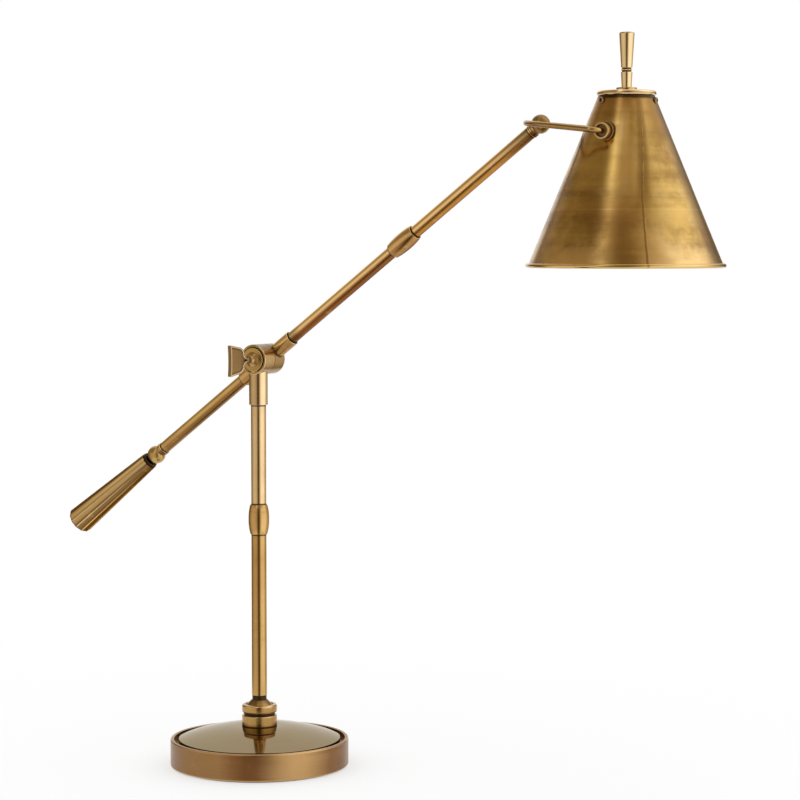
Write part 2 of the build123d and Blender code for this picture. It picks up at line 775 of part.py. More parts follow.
def write_base():
    """Pieces that stand still."""
    node("felt_pad", disc(rim_inner_r - felt_margin, 0, felt_t))
    node("base_cover", base_cover())
    node("cover_screws", *around(cover_screw_angles, cover_screw()))
    node("base_weight", base_weight())
    node("base_rim", base_rim())
    node("base_plate", base_plate())
    node("cord_bushing", cord_bushing())
    node("base_rod", tube(rod_r, rod_bore_r, rod_low_z, rod_top_z))
    node("rod_nut", hexagon(rod_nut_r, rod_low_z, rod_low_z + rod_nut_h) - disc(
        rod_r + fit, rod_low_z - overrun, pocket_top))
    node("rod_washer", tube(rod_washer_r, rod_r + fit, rod_low_z + rod_nut_h, pocket_top))
    node("foot_ring", tube(foot_r, rod_r + fit, crown_z, foot_top, foot_round))
    node("swivel_washer", tube(swivel_washer_r, rod_r + fit, foot_top, foot_top + swivel_washer_t))
    node("swivel_locknut", tube(locknut_r, rod_r + fit, locknut_z, locknut_z + locknut_h))


def write_stem():
    """Pieces that turn on the base."""
    node("foot_collar", foot_collar())
    node("lower_stem_tube", tube(stem_r, stem_bore_r, stem_z, stem_coupling_z - coupling_rib / 2))
    node("stem_coupling", Pos(0, 0, stem_coupling_z) * coupling(
        stem_r, stem_wall, stem_coupling_end_r, stem_coupling_r, stem_coupling_length))
    node("upper_stem_tube", tube(stem_r, stem_bore_r, stem_coupling_z + coupling_rib / 2, sleeve_top_z))
    sleeve_low_z = sleeve_top_z - stem_sleeve_length
    node("stem_sleeve", tube(stem_sleeve_r, stem_r + fit, sleeve_low_z, sleeve_top_z, edge_ease))
    node("clamp_head", clamp_head())
    node("stem_lead", stem_lead())


def write_clamp_screw():
    """Pieces that turn with the thumb wing."""
    node("thumb_wing", thumb_wing())
    node("thumb_washer", thumb_washer())
    node("clamp_screw", clamp_screw())


def write_boom():
    """Pieces that tilt with the boom; along the boom, +Z runs to the tip."""
    collar_s = boom_length - tip_ball_r
    rear_collar_s = -rear_ball_s + rear_ball_r
    node("boom_block", boom_block())
    node("clamp_nut", clamp_nut())
    pieces = {
        "front_sleeve": tube(boom_sleeve_r, boom_r + fit, socket_start, boom_sleeve_end, edge_ease),
        "rear_sleeve": tube(boom_sleeve_r, boom_r + fit, -boom_sleeve_end, -socket_start, edge_ease),
        "lower_boom_tube": tube(boom_r, boom_bore_r, socket_start, boom_coupling_s - coupling_rib / 2),
        "boom_coupling": Pos(0, 0, boom_coupling_s) * coupling(
            boom_r, boom_wall, boom_coupling_end_r, boom_coupling_r, boom_coupling_length),
        "upper_boom_tube": tube(
            boom_r, boom_bore_r, boom_coupling_s + coupling_rib / 2, boom_length - ball_socket_depth),
        "tip_collar": tube(tip_collar_r, boom_r + fit, collar_s - tip_collar_length, collar_s, edge_ease),
        "tip_ball": tip_ball(),
        "boom_lead": boom_lead(),
        "rear_tube": tube(boom_r, boom_bore_r, -rear_ball_s + ball_socket_depth, -socket_start),
        "rear_collar": tube(
            rear_collar_r, boom_r + fit, rear_collar_s, rear_collar_s + rear_collar_length, edge_ease),
        "rear_ball": rear_ball(),
        "weight_stud": weight_stud(),
        "counterweight": counterweight(),
    }
    for name, solid in pieces.items():
        node(name, boom_place * solid)


def write_fork():
    """Pieces that tilt with the fork."""
    node("fork_tube", fork_tube())
    for name, side in pivot_sides.items():
        node(f"pivot_cap_{name}", at_pivot(side, pivot_cap()))
        node(f"pivot_ring_{name}", at_pivot(side, tube(ring_r, pin_r + fit, ring_low, cap_low, ring_round)))


def write_shade():
    """Pieces that tilt with the shade, and the knob that turns on it."""
    node("shade_shell", shade_shell())
    node("shade_lid", shade_lid())
    node("lid_screws", *[shade_place * screw for screw in around(lid_screw_angles, lid_screw())])
    for name, side in pivot_sides.items():
        node(f"pivot_saddle_{name}", pivot_saddle(side))
    node("pivot_pins", *[pivot_pin(side) for side in pivot_sides.values()])
    pieces = {
        "knob_washer": tube(knob_washer_r, switch_neck_r + fit, lid_h, stem_low, knob_washer_round),
        "knob_stem": knob_stem(),
        "switch_body": switch_body(),
        "lampholder": lampholder(),
        "socket_shell": tube(socket_r, socket_r - socket_wall, holder_low, switch_low - holder_floor),
        "centre_contact": disc(contact_r, contact_low, switch_low - holder_floor),
        "bulb_cap": bulb_cap(),
        "bulb_glass": bulb_glass(),
        "switch_knob": switch_knob(),
        "switch_spindle": switch_spindle(),
    }
    for name, solid in pieces.items():
        node(name, shade_place * solid)


os.makedirs("parts", exist_ok=True)
write_base()
write_stem()
write_clamp_screw()
write_boom()
write_fork()
write_shade()
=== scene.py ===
"""Brass boom-arm table lamp, dressed around its solids.

Sizes are written in millimetres and meshes are placed in metres.
The origin is the centre of the base's underside, +Z is up and +X points to the shade.
"""

import logging
from dataclasses import dataclass, replace
from enum import Enum
from math import cos, pi, radians, sin, tau
from typing import Any, ClassVar, Dict, Iterable, List, Mapping, Optional, Sequence, Tuple, Union

import bmesh
import bpy
from mathutils import Euler, Matrix, Vector

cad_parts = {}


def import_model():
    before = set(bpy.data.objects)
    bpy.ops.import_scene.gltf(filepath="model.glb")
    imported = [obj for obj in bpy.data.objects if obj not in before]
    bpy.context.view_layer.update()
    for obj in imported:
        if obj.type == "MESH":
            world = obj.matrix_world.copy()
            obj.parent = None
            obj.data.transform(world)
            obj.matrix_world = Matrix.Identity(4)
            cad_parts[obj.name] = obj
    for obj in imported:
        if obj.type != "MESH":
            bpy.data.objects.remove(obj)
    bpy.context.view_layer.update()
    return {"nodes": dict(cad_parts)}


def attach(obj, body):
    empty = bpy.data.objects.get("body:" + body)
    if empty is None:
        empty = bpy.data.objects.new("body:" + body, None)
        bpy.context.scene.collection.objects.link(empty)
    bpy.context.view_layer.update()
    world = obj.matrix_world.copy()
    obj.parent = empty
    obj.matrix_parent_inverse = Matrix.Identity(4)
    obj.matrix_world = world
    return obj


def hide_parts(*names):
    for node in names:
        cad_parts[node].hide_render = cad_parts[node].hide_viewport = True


Colour = Tuple[float, float, float]
Corner = Tuple[float, ...]
Profile = Tuple[Corner, ...]
Edges = List[bmesh.types.BMEdge]
MM = 0.001
WHITE = (1.0, 1.0, 1.0, 1.0)
# Colour of painted shade in hollows and between parts, with some grime.
SHADE_AND_GRIME: Colour = (0.035, 0.019, 0.011)
COPPER: Colour = (0.40, 0.185, 0.06)
PIVOT_SIDES = (("front", 1), ("back", -1))
LOG = logging.getLogger("lamp")


class Term:
    """A value inside a material, whose arithmetic adds Math nodes."""

    def __init__(self, graph: "Graph", socket: Optional[bpy.types.NodeSocket]) -> None:
        """Keep the graph and the output socket."""
        self.graph = graph
        self.socket = socket

    def out(self, name: str) -> "Term":
        """Another output of the same node."""
        return Term(self.graph, self.socket.node.outputs[name])

    def apply(self, operation: str, *others: "Input") -> "Term":
        """A Math node on this value and the others."""
        values = dict(enumerate((self, *others)))
        return self.graph.node("ShaderNodeMath", {"operation": operation}, values)

    def __add__(self, other: "Input") -> "Term":
        """Sum."""
        return self.apply("ADD", other)

    __radd__ = __add__

    def __sub__(self, other: "Input") -> "Term":
        """Difference."""
        return self.apply("SUBTRACT", other)

    def __rsub__(self, other: float) -> "Term":
        """A number minus this value."""
        return self.graph.node("ShaderNodeMath", {"operation": "SUBTRACT"}, {0: other, 1: self})

    def __mul__(self, other: "Input") -> "Term":
        """Product."""
        return self.apply("MULTIPLY", other)

    __rmul__ = __mul__

    def ramp(self, low: float, high: float) -> "Term":
        """Smooth step from 0 at low to 1 at high.

        Args:
            low: Value that gives 0.
            high: Value that gives 1.

        Returns:
            The stepped value.
        """
        sockets = {"Value": self, "From Min": low, "From Max": high}
        return self.graph.node("ShaderNodeMapRange", {"interpolation_type": "SMOOTHSTEP"}, sockets)


Input = Union[Term, float, Tuple[float, ...]]


class Graph:
    """A node tree that is filled from Python expressions."""

    def __init__(self, tree: bpy.types.NodeTree) -> None:
        """Start from an empty tree."""
        self.tree = tree
        self.tree.nodes.clear()

    def node(self, kind: str, settings: Optional[Mapping[str, Any]] = None,
             sockets: Optional[Mapping[Union[str, int], Input]] = None, output: int = 0) -> Term:
        """Add a node.

        Args:
            kind: Node type.
            settings: Properties of the node; "stops" sets a colour ramp.
            sockets: Values or links of its inputs, by name or number.
            output: Number of the output to return.

        Returns:
            The chosen output.
        """
        made = self.tree.nodes.new(kind)
        for key, value in (settings or {}).items():
            if key == "stops":
                self._set_stops(made.color_ramp, value)
            else:
                setattr(made, key, value)
        for key, value in (sockets or {}).items():
            if isinstance(value, Term):
                self.tree.links.new(value.socket, made.inputs[key])
            else:
                made.inputs[key].default_value = value
        return Term(self, made.outputs[output] if len(made.outputs) else None)

    @staticmethod
    def _set_stops(ramp: bpy.types.ColorRamp, stops: Sequence[Tuple[float, Colour]]) -> None:
        """Give a colour ramp its stops.

        Args:
            ramp: Ramp to fill.
            stops: Place and colour of each stop, in order.
        """
        while len(ramp.elements) < len(stops):
            ramp.elements.new(1.0)
        for element, (place, colour) in zip(ramp.elements, stops):
            element.position = place
            element.color = (*colour, 1.0)

    def mix(self, share: Input, first: Input, second: Input) -> Term:
        """Mix two colours; share 0 gives the first."""
        colours = [(*c, 1.0) if isinstance(c, tuple) and len(c) == 3 else c for c in (first, second)]
        return self.node("ShaderNodeMix", {"data_type": "RGBA"}, {0: share, 6: colours[0], 7: colours[1]}, 2)

    def noise(self, vector: Term, scale: float, detail: float, rough: float) -> Term:
        """Soft noise from 0 to 1."""
        sockets = {"Vector": vector, "Scale": scale, "Detail": detail, "Roughness": rough}
        return self.node("ShaderNodeTexNoise", {"noise_dimensions": "3D"}, sockets)

    def drawn_noise(self, vector: Term, stretch: Sequence[float], detail: float, rough: float) -> Term:
        """Soft noise, stretched along its three axes."""
        scaled = self.node("ShaderNodeVectorMath", {"operation": "MULTIPLY"}, {0: vector, 1: tuple(stretch)})
        return self.noise(scaled, 1.0, detail, rough)

    def mark(self, name: str) -> Term:
        """A mark on the points of a mesh, such as wear or grime."""
        return self.node("ShaderNodeAttribute", {"attribute_name": name}).out("Fac")

    def split(self, vector: Term) -> Term:
        """The parts of a vector, which are its outputs X, Y and Z."""
        return self.node("ShaderNodeSeparateXYZ", {}, {0: vector})

    def local(self, place: Matrix) -> Term:
        """Object coordinates, measured in a piece's own stance.

        Args:
            place: Stance of the piece, in millimetres.

        Returns:
            The coordinates, in metres.
        """
        turn = place.to_euler()
        where = self.node("ShaderNodeTexCoord").out("Object")
        sockets = {"Vector": where, "Location": tuple(place.translation * MM), "Rotation": tuple(turn)}
        return self.node("ShaderNodeMapping", {"vector_type": "TEXTURE"}, sockets)

    def bump(self, height: Term, strength: float, distance: float) -> Term:
        """Surface relief from a height."""
        return self.node("ShaderNodeBump", {}, {"Height": height, "Strength": strength, "Distance": distance})

    def surface(self, sockets: Mapping[str, Input]) -> None:
        """Principled surface, led to the output."""
        shader = self.node("ShaderNodeBsdfPrincipled", {}, sockets)
        self.node("ShaderNodeOutputMaterial", {}, {"Surface": shader})


class Grain(Enum):
    """Direction of the fine lines left by polishing, as stretch across and along the piece's axis."""

    ROUND = (14.0, 1500.0)
    ALONG = (1300.0, 14.0)
    CAST = (420.0, 420.0)


@dataclass(frozen=True)
class AgedBrass:
    """Brass that has been polished, darkened by age and rubbed bright on its edges.

    Bands are painted reflections: each pairs an angle in degrees with a level from dark (0) to bright (1).
    The underside shade is painted shade on the underside, edge tints grazing reflections,
    and rub changes the roughness of worn edges.
    """

    cloud_scale: ClassVar[float] = 16.0
    stain_scale: ClassVar[float] = 95.0
    streak_share: ClassVar[float] = 0.22
    tone_stretch: ClassVar[Corner] = (9.0, 13.0, 11.0)
    underside: ClassVar[Tuple[float, float]] = (-0.0015, 0.0042)
    line_depth: ClassVar[float] = 0.0002
    name: str
    bright: Colour = (0.68, 0.47, 0.22)
    middle: Colour = (0.54, 0.345, 0.125)
    dark: Colour = (0.30, 0.15, 0.042)
    roughness: float = 0.17
    patina: float = 0.5
    grain: Grain = Grain.ALONG
    relief: float = 0.10
    underside_shade: float = 0.0
    copper: float = 0.3
    flecks: float = 0.3
    bands: Tuple[Tuple[float, float], ...] = ()
    reflection_share: float = 0.8
    edge: Colour = (1.0, 1.0, 1.0)
    rub: float = -0.06

    def fill(self, graph: Graph, place: Matrix) -> None:
        """Write the nodes of this finish.

        Args:
            graph: Empty graph of the material.
            place: Stance of the piece, which the grain follows.
        """
        local = graph.local(place)
        across, along = self.grain.value
        clouds = graph.noise(local, self.cloud_scale, 4.0, 0.6)
        stains = graph.noise(local, self.stain_scale, 4.0, 0.6)
        stretch = (across, across, along)
        lines = graph.drawn_noise(local, stretch, 3.0, 0.65)
        streaks = graph.drawn_noise(local, [value * self.streak_share for value in stretch], 2.0, 0.5)
        wear, shade_and_grime = graph.mark("wear"), graph.mark("shade_and_grime")
        aged = (clouds * 0.65 + stains * 0.2 + streaks * 0.25).ramp(
            0.78 - 0.5 * self.patina, 0.98 - 0.3 * self.patina)
        parts = graph.split(local)
        # Painted shade: the underside, towards +X in the piece's stance, is darkened.
        if self.underside_shade:
            aged = (aged * 0.35 + parts.out("X").ramp(*self.underside) * self.underside_shade).ramp(0.0, 1.0)
        colour = graph.mix(aged, self.middle, self.dark)
        # Painted reflections: lighter and darker bands round the axis.
        if self.bands:
            colour = graph.mix(self.reflection_share, colour, self.painted_reflections(graph, parts, streaks))
        tone = graph.drawn_noise(local, self.tone_stretch, 3.0, 0.55).ramp(0.43, 0.60)
        colour = graph.mix(tone * self.copper, colour, COPPER)
        colour = graph.mix(stains.ramp(0.52, 0.75) * self.flecks, colour, self.bright)
        colour = graph.mix(wear * (0.55 + lines * 0.5), colour, self.bright)
        # Painted shade, with some grime, on the shaded points: darker and duller.
        colour = graph.mix(shade_and_grime * 0.94, colour, SHADE_AND_GRIME)
        dull = self.roughness + aged * 0.10 + (lines - 0.5) * 0.16 + wear * self.rub + shade_and_grime * 0.2
        graph.surface({
            "Base Color": colour, "Metallic": 1.0, "Roughness": dull, "Specular Tint": (*self.edge, 1.0),
            "Normal": graph.bump(lines, self.relief, self.line_depth)})

    def painted_reflections(self, graph: Graph, parts: Term, streaks: Term) -> Term:
        """Painted reflections: colour in broad upright bands round the axis.

        Args:
            graph: Graph of the material.
            parts: Split coordinates in the piece's stance.
            streaks: Noise that frays the bands.

        Returns:
            The colour.
        """
        turned = parts.out("Y").apply("ARCTAN2", parts.out("X"))
        stops = [(0.5 + angle / 360.0, (level, level, level)) for angle, level in self.bands]
        frayed = turned * (1.0 / tau) + streaks * 0.02 + 0.49
        level = graph.node("ShaderNodeValToRGB", {"stops": stops}, {0: frayed})
        return graph.mix(level, self.dark, self.bright)


@dataclass(frozen=True)
class Patch:
    """A soft-edged patch on the shade: angle from the seam, half width, depths below the cap, strength."""

    soft: ClassVar[float] = 18
    angle: float
    half: float
    top: float
    bottom: float
    share: float
    rubbed: bool = False

    def share_at(self, off_seam: Term, height: Term, clouds: Term) -> Term:
        """How much of the patch there is at a point.

        Args:
            off_seam: Angle from the seam, in radians.
            height: Height above the cap, in metres.
            clouds: Noise that breaks the patch up.

        Returns:
            A share from 0 to 1.
        """
        frayed = off_seam + (clouds - 0.5) * 0.25
        side = 1.0 - (frayed - self.angle).apply("ABSOLUTE").ramp(self.half * 0.4, self.half * 1.6)
        level = height + (clouds - 0.5) * 0.06
        above = level.ramp(-(self.bottom + self.soft) * MM, -(self.bottom - self.soft) * MM)
        below = level.ramp(-(self.top - self.soft) * MM, -(self.top + self.soft) * MM)
        return side * above * below * self.share


@dataclass(frozen=True)
class ShadeBrass:
    """Spun brass of the shade: fine rings, broad patches of patina, painted highlight and painted shade,
    one soldered seam and a painted shadow below the cap.
    """

    ring_stretch: ClassVar[Corner] = (9.0, 9.0, 1400.0)
    band_stretch: ClassVar[Corner] = (7.0, 7.0, 90.0)
    brown_stretch: ClassVar[Corner] = (11.0, 11.0, 15.0)
    cloud_scale: ClassVar[float] = 13.0
    stain_scale: ClassVar[float] = 60.0
    relief_depth: ClassVar[float] = 0.0003
    name: str
    bright: Colour = (0.68, 0.47, 0.18)
    middle: Colour = (0.58, 0.37, 0.11)
    dark: Colour = (0.22, 0.115, 0.03)
    rubbed: Colour = (0.84, 0.57, 0.24)
    seam_angle: float = -51.0
    line_depth: float = 109.0
    # Lighter patches take the rubbed colour, darker ones the dark colour. The one at -0.40 is a painted
    # highlight that widens a reflection near the top, the one at -0.34 is painted shade that dims it lower
    # down, and the two outermost are painted shade down the sides of the cone that turn away from the camera.
    patches: Tuple[Patch, ...] = (
        Patch(-0.86, 0.34, 144, 190, 0.9, True), Patch(0.08, 0.14, 118, 190, 0.4, True),
        Patch(0.46, 0.38, 146, 190, 0.95, True),
        Patch(-0.40, 0.10, 12, 58, 0.7, True), Patch(-0.22, 0.15, 48, 100, 0.4, True),
        Patch(-0.50, 0.30, 102, 128, 0.55), Patch(-0.34, 0.16, 116, 176, 0.75),
        Patch(0.0, 0.10, -20, 112, 0.62), Patch(0.58, 0.36, -20, 52, 0.85),
        Patch(-1.40, 0.18, -20, 190, 0.5), Patch(0.98, 0.18, -20, 190, 0.5))

    def fill(self, graph: Graph, place: Matrix) -> None:
        """Write the nodes of this finish.

        Args:
            graph: Empty graph of the material.
            place: Stance of the shade, its axis upwards.
        """
        local = graph.local(place)
        parts = graph.split(local)
        rings = graph.drawn_noise(local, self.ring_stretch, 3.0, 0.65)
        bands = graph.drawn_noise(local, self.band_stretch, 3.0, 0.5)
        clouds = graph.noise(local, self.cloud_scale, 5.0, 0.62)
        stains = graph.noise(local, self.stain_scale, 4.0, 0.6)
        wear = graph.mark("wear")
        low_part = parts.out("Z").ramp(-0.04, -0.12)
        aged = (clouds * 0.62 + bands * 0.34 + stains * 0.18).ramp(0.47, 0.70) * (0.7 + low_part * 0.25)
        turned = parts.out("Y").apply("ARCTAN2", parts.out("X"))
        off_seam = turned - radians(self.seam_angle) - parts.out("Z").ramp(-0.11, 0.02) * 0.22
        seam = 1.0 - (off_seam + (stains - 0.5) * 0.02).apply("ABSOLUTE").ramp(0.004, 0.018)
        fringe = (1.0 - (off_seam - 0.018).apply("ABSOLUTE").ramp(0.004, 0.014)) * stains.ramp(0.42, 0.6)
        line = 1.0 - (parts.out("Z") + self.line_depth * MM).apply("ABSOLUTE").ramp(0.0002, 0.0012)
        colour = graph.mix(aged, self.middle, self.dark)
        colour = graph.mix(stains.ramp(0.5, 0.72) * 0.4, colour, self.bright)
        # Patches of patina, with painted highlight and painted shade among them.
        for patch in self.patches:
            share = patch.share_at(off_seam, parts.out("Z"), clouds)
            colour = graph.mix(share, colour, self.rubbed if patch.rubbed else self.dark)
        colour = graph.mix(fringe * 0.6 + line * 0.25, colour, self.bright)
        brown = graph.drawn_noise(local, self.brown_stretch, 3.0, 0.55).ramp(0.48, 0.66)
        colour = graph.mix(brown * 0.4, colour, COPPER)
        colour = graph.mix(seam * (0.35 + low_part * 0.4), colour, self.dark)
        colour = graph.mix(wear * 0.6, colour, self.bright)
        # Painted shadow of the cap on the top of the cone.
        cap_shadow = (parts.out("Z") + stains * 0.002).ramp(-0.0035, -0.0012)
        colour = graph.mix(cap_shadow * 0.9, colour, SHADE_AND_GRIME)
        dull = 0.18 + aged * 0.09 + (rings - 0.5) * 0.14 - wear * 0.08
        relief = rings * 0.5 - seam * 0.8 + line * 0.5 + stains * 0.5
        graph.surface({
            "Base Color": colour, "Metallic": 1.0, "Roughness": dull,
            "Normal": graph.bump(relief, 0.10, self.relief_depth)})


@dataclass(frozen=True)
class PlainFinish:
    """A finish of one stuff: mottled colour, uneven gloss and a fine relief."""

    relief_depth: ClassVar[float] = 0.0003
    name: str
    colour: Colour
    second: Colour
    roughness: float
    metallic: float = 0.0
    grain_size: float = 400.0
    relief: float = 0.15
    transmission: float = 0.0

    def fill(self, graph: Graph, place: Matrix) -> None:
        """Write the nodes of this finish.

        Args:
            graph: Empty graph of the material.
            place: Stance of the piece.
        """
        local = graph.local(place)
        fine = graph.noise(local, self.grain_size, 4.0, 0.6)
        broad = graph.noise(local, self.grain_size * 0.08, 3.0, 0.5)
        colour = graph.mix((fine * 0.5 + broad * 0.5).ramp(0.35, 0.65), self.colour, self.second)
        graph.surface({
            "Base Color": colour, "Metallic": self.metallic,
            "Roughness": self.roughness + (broad - 0.5) * 0.2,
            "Transmission Weight": self.transmission,
            "Normal": graph.bump(fine, self.relief, self.relief_depth)})


Finish = Union[AgedBrass, ShadeBrass, PlainFinish]

TUBE_BRASS = AgedBrass("tube_brass", flecks=0.2)
PALE_BRASS = AgedBrass(
    "pale_brass", bright=(0.84, 0.66, 0.42), middle=(0.75, 0.55, 0.30), dark=(0.53, 0.35, 0.15), copper=0.15,
    flecks=0.2)
# The underside value of the boom, sleeve, fork and rear tube finishes paints shade on their undersides.
BOOM_BRASS = AgedBrass(
    "boom_brass", bright=(0.98, 0.72, 0.40), middle=(0.97, 0.67, 0.31), dark=(0.25, 0.09, 0.022), patina=0.32,
    underside_shade=1.0, copper=0.15, flecks=0.15)
UPPER_BRASS = AgedBrass(
    "upper_boom_brass", bright=(0.98, 0.72, 0.40), middle=(0.97, 0.67, 0.31), dark=(0.46, 0.21, 0.04),
    patina=0.32, underside_shade=0.95, copper=0.2, flecks=0.15)
# Its bands are painted reflections round the rim, darkest facing the camera.
RIM_BRASS = AgedBrass(
    "rim_brass", bright=(0.60, 0.38, 0.165), middle=(0.28, 0.13, 0.04), dark=(0.135, 0.056, 0.02),
    roughness=0.33, patina=0.5, grain=Grain.ROUND, copper=0.1, flecks=0.08,
    bands=(
        (-178, 0.3), (-150, 0.55), (-128, 0.2), (-108, 0.32), (-82, 0.36), (-73, 0.14), (-64, 0.0),
        (-57, 0.05), (-50, 0.38), (-42, 0.75), (-34, 0.95), (-26, 0.92), (-16, 0.6), (-5, 0.18), (12, 0.1),
        (40, 0.5), (75, 0.2), (120, 0.6), (178, 0.3)))
PLATE_BRASS = AgedBrass(
    "plate_brass", bright=(0.365, 0.285, 0.172), middle=(0.31, 0.24, 0.142), dark=(0.255, 0.19, 0.10),
    roughness=0.09, patina=0.35, grain=Grain.ROUND, relief=0.03, copper=0.08, flecks=0.1,
    edge=(0.81, 0.775, 0.70))
TURNED_BRASS = AgedBrass(
    "turned_brass", middle=(0.60, 0.38, 0.14), dark=(0.33, 0.17, 0.05), grain=Grain.ROUND)
SATIN_BRASS = AgedBrass(
    "satin_brass", bright=(0.82, 0.62, 0.34), middle=(0.50, 0.315, 0.10), roughness=0.34, patina=0.45,
    grain=Grain.ROUND, flecks=0.12)
BALL_BRASS = AgedBrass(
    "ball_brass", bright=(0.42, 0.28, 0.11), middle=(0.30, 0.18, 0.06), dark=(0.17, 0.09, 0.028),
    roughness=0.36, patina=0.5, grain=Grain.CAST, copper=0.15, flecks=0.08)
FORK_BRASS = AgedBrass(
    "fork_brass", bright=(0.58, 0.40, 0.19), middle=(0.44, 0.275, 0.10), dark=(0.15, 0.07, 0.022), underside_shade=1.1,
    grain=Grain.CAST, relief=0.04)
FOOT_BRASS = AgedBrass(
    "foot_brass", bright=(0.74, 0.52, 0.26), middle=(0.44, 0.265, 0.085), dark=(0.20, 0.095, 0.026),
    roughness=0.2, patina=0.52, grain=Grain.ROUND)
LID_BRASS = AgedBrass(
    "lid_brass", bright=(0.90, 0.72, 0.46), middle=(0.58, 0.38, 0.14), dark=(0.30, 0.165, 0.05),
    roughness=0.14, patina=0.45, grain=Grain.ROUND, relief=0.04)
BRIGHT_BRASS = AgedBrass(
    "bright_brass_finish", bright=(0.90, 0.73, 0.47), middle=(0.79, 0.59, 0.32), dark=(0.42, 0.26, 0.09),
    roughness=0.14, patina=0.3, grain=Grain.ROUND, relief=0.04, copper=0.12)
# Its bands are painted reflections that change from flat to flat.
WEIGHT_BRASS = AgedBrass(
    "weight_brass", bright=(1.0, 0.74, 0.36), middle=(0.62, 0.35, 0.09), dark=(0.095, 0.032, 0.003),
    roughness=0.25, patina=0.58, copper=0.12, flecks=0.12,
    bands=(
        (-178, 0.3), (-160, 0.35), (-142, 0.45), (-128, 0.42), (-120, 0.47), (-113, 0.9), (-107, 1.0),
        (-101, 0.75), (-95, 0.35), (-84, 0.53), (-74, 0.45), (-68, 0.15), (-63, 0.0), (-52, 0.13),
        (-40, 0.05), (-29, 0.0), (30, 0.0), (90, 0.4), (140, 0.5), (178, 0.3)),
    reflection_share=0.9, edge=(0.4, 0.25, 0.12), rub=0.3)
SLEEVE_BRASS = AgedBrass(
    "sleeve_brass", bright=(0.88, 0.68, 0.38), middle=(0.76, 0.50, 0.20), dark=(0.30, 0.14, 0.04), patina=0.4,
    underside_shade=0.7, copper=0.3)
# Its bands, which the block's finish shares, are painted reflections, darkest over the top.
CLAMP_BRASS = AgedBrass(
    "clamp_brass", bright=(0.76, 0.55, 0.28), middle=(0.46, 0.28, 0.10), dark=(0.16, 0.082, 0.03),
    roughness=0.24, patina=0.5, grain=Grain.ROUND, relief=0.05, copper=0.15,
    bands=(
        (-178, 0.5), (-74, 0.35), (-40, 0.5), (-10, 0.8), (16, 0.85), (30, 0.35), (48, 0.12), (90, 0.08),
        (112, 0.2), (150, 0.5), (178, 0.5)))
BLOCK_BRASS = replace(CLAMP_BRASS, name="block_brass", bright=(0.60, 0.43, 0.205), middle=(0.38, 0.23, 0.08))
# Its bands are painted reflections round the sleeve.
STEM_SLEEVE_BRASS = AgedBrass(
    "stem_sleeve_brass", bright=(0.90, 0.70, 0.42), middle=(0.60, 0.40, 0.16), dark=(0.28, 0.15, 0.04),
    patina=0.45, copper=0.15, flecks=0.15,
    bands=(
        (-178, 0.4), (-140, 0.3), (-120, 0.45), (-90, 0.5), (-62, 0.4), (-45, 0.8), (-20, 1.0), (5, 0.9),
        (18, 0.3), (60, 0.2), (120, 0.5), (178, 0.4)))
WING_BRASS = AgedBrass(
    "wing_brass", bright=(1.0, 0.82, 0.56), middle=(0.46, 0.29, 0.12), dark=(0.22, 0.125, 0.05),
    roughness=0.3, patina=0.4, grain=Grain.CAST, relief=0.05, copper=0.15, flecks=0.05)
REAR_BALL_BRASS = AgedBrass(
    "rear_ball_brass", bright=(0.82, 0.62, 0.34), middle=(0.52, 0.34, 0.12), dark=(0.32, 0.18, 0.06),
    roughness=0.3, patina=0.3, grain=Grain.CAST, relief=0.03, copper=0.1, flecks=0.05)
REAR_BRASS = AgedBrass(
    "rear_tube_brass", bright=(0.86, 0.62, 0.32), middle=(0.74, 0.50, 0.19), dark=(0.23, 0.115, 0.03),
    patina=0.45, underside_shade=1.0, copper=0.35, flecks=0.15)
DARK_BRASS = AgedBrass(
    "darkened_brass", bright=(0.45, 0.29, 0.12), middle=(0.13, 0.08, 0.035), dark=(0.05, 0.03, 0.015),
    roughness=0.36, patina=0.6, grain=Grain.CAST, copper=0.1, flecks=0.1)
BLACKENED = AgedBrass(
    "blackened_brass", bright=(0.06, 0.04, 0.025), middle=(0.04, 0.025, 0.016), dark=(0.02, 0.012, 0.008),
    roughness=0.4, grain=Grain.CAST, copper=0.02)
SHADE_BRASS = ShadeBrass("shade_brass_finish")
FELT = PlainFinish("pressed_felt", (0.035, 0.05, 0.035), (0.06, 0.075, 0.055), 0.95, 0.0, 1500.0, 0.6)
STEEL = PlainFinish("zinc_plate", (0.55, 0.55, 0.54), (0.42, 0.42, 0.41), 0.38, 1.0, 300.0, 0.1)
IRON = PlainFinish("rough_iron", (0.10, 0.10, 0.10), (0.05, 0.05, 0.05), 0.7, 0.6, 250.0, 0.5)
PHENOLIC = PlainFinish("moulded_black", (0.022, 0.020, 0.018), (0.012, 0.011, 0.010), 0.42, 0.0, 700.0, 0.08)
SHEATH = PlainFinish("lead_sheath_finish", (0.03, 0.03, 0.03), (0.015, 0.015, 0.015), 0.5, 0.0, 500.0, 0.1)
CAP_METAL = PlainFinish("bulb_cap_metal", (0.75, 0.75, 0.73), (0.6, 0.6, 0.58), 0.25, 1.0, 300.0, 0.05)
FROSTED = PlainFinish("frosted_glass", (0.95, 0.95, 0.93), (0.88, 0.88, 0.86), 0.55, 0.0, 900.0, 0.05, 0.35)


def new_material(name: str) -> Tuple[bpy.types.Material, Graph]:
    """Start a material.

    Args:
        name: Name of the material.

    Returns:
        The material and its empty graph.
    """
    material = bpy.data.materials.new(name)
    material.use_nodes = True
    return material, Graph(material.node_tree)


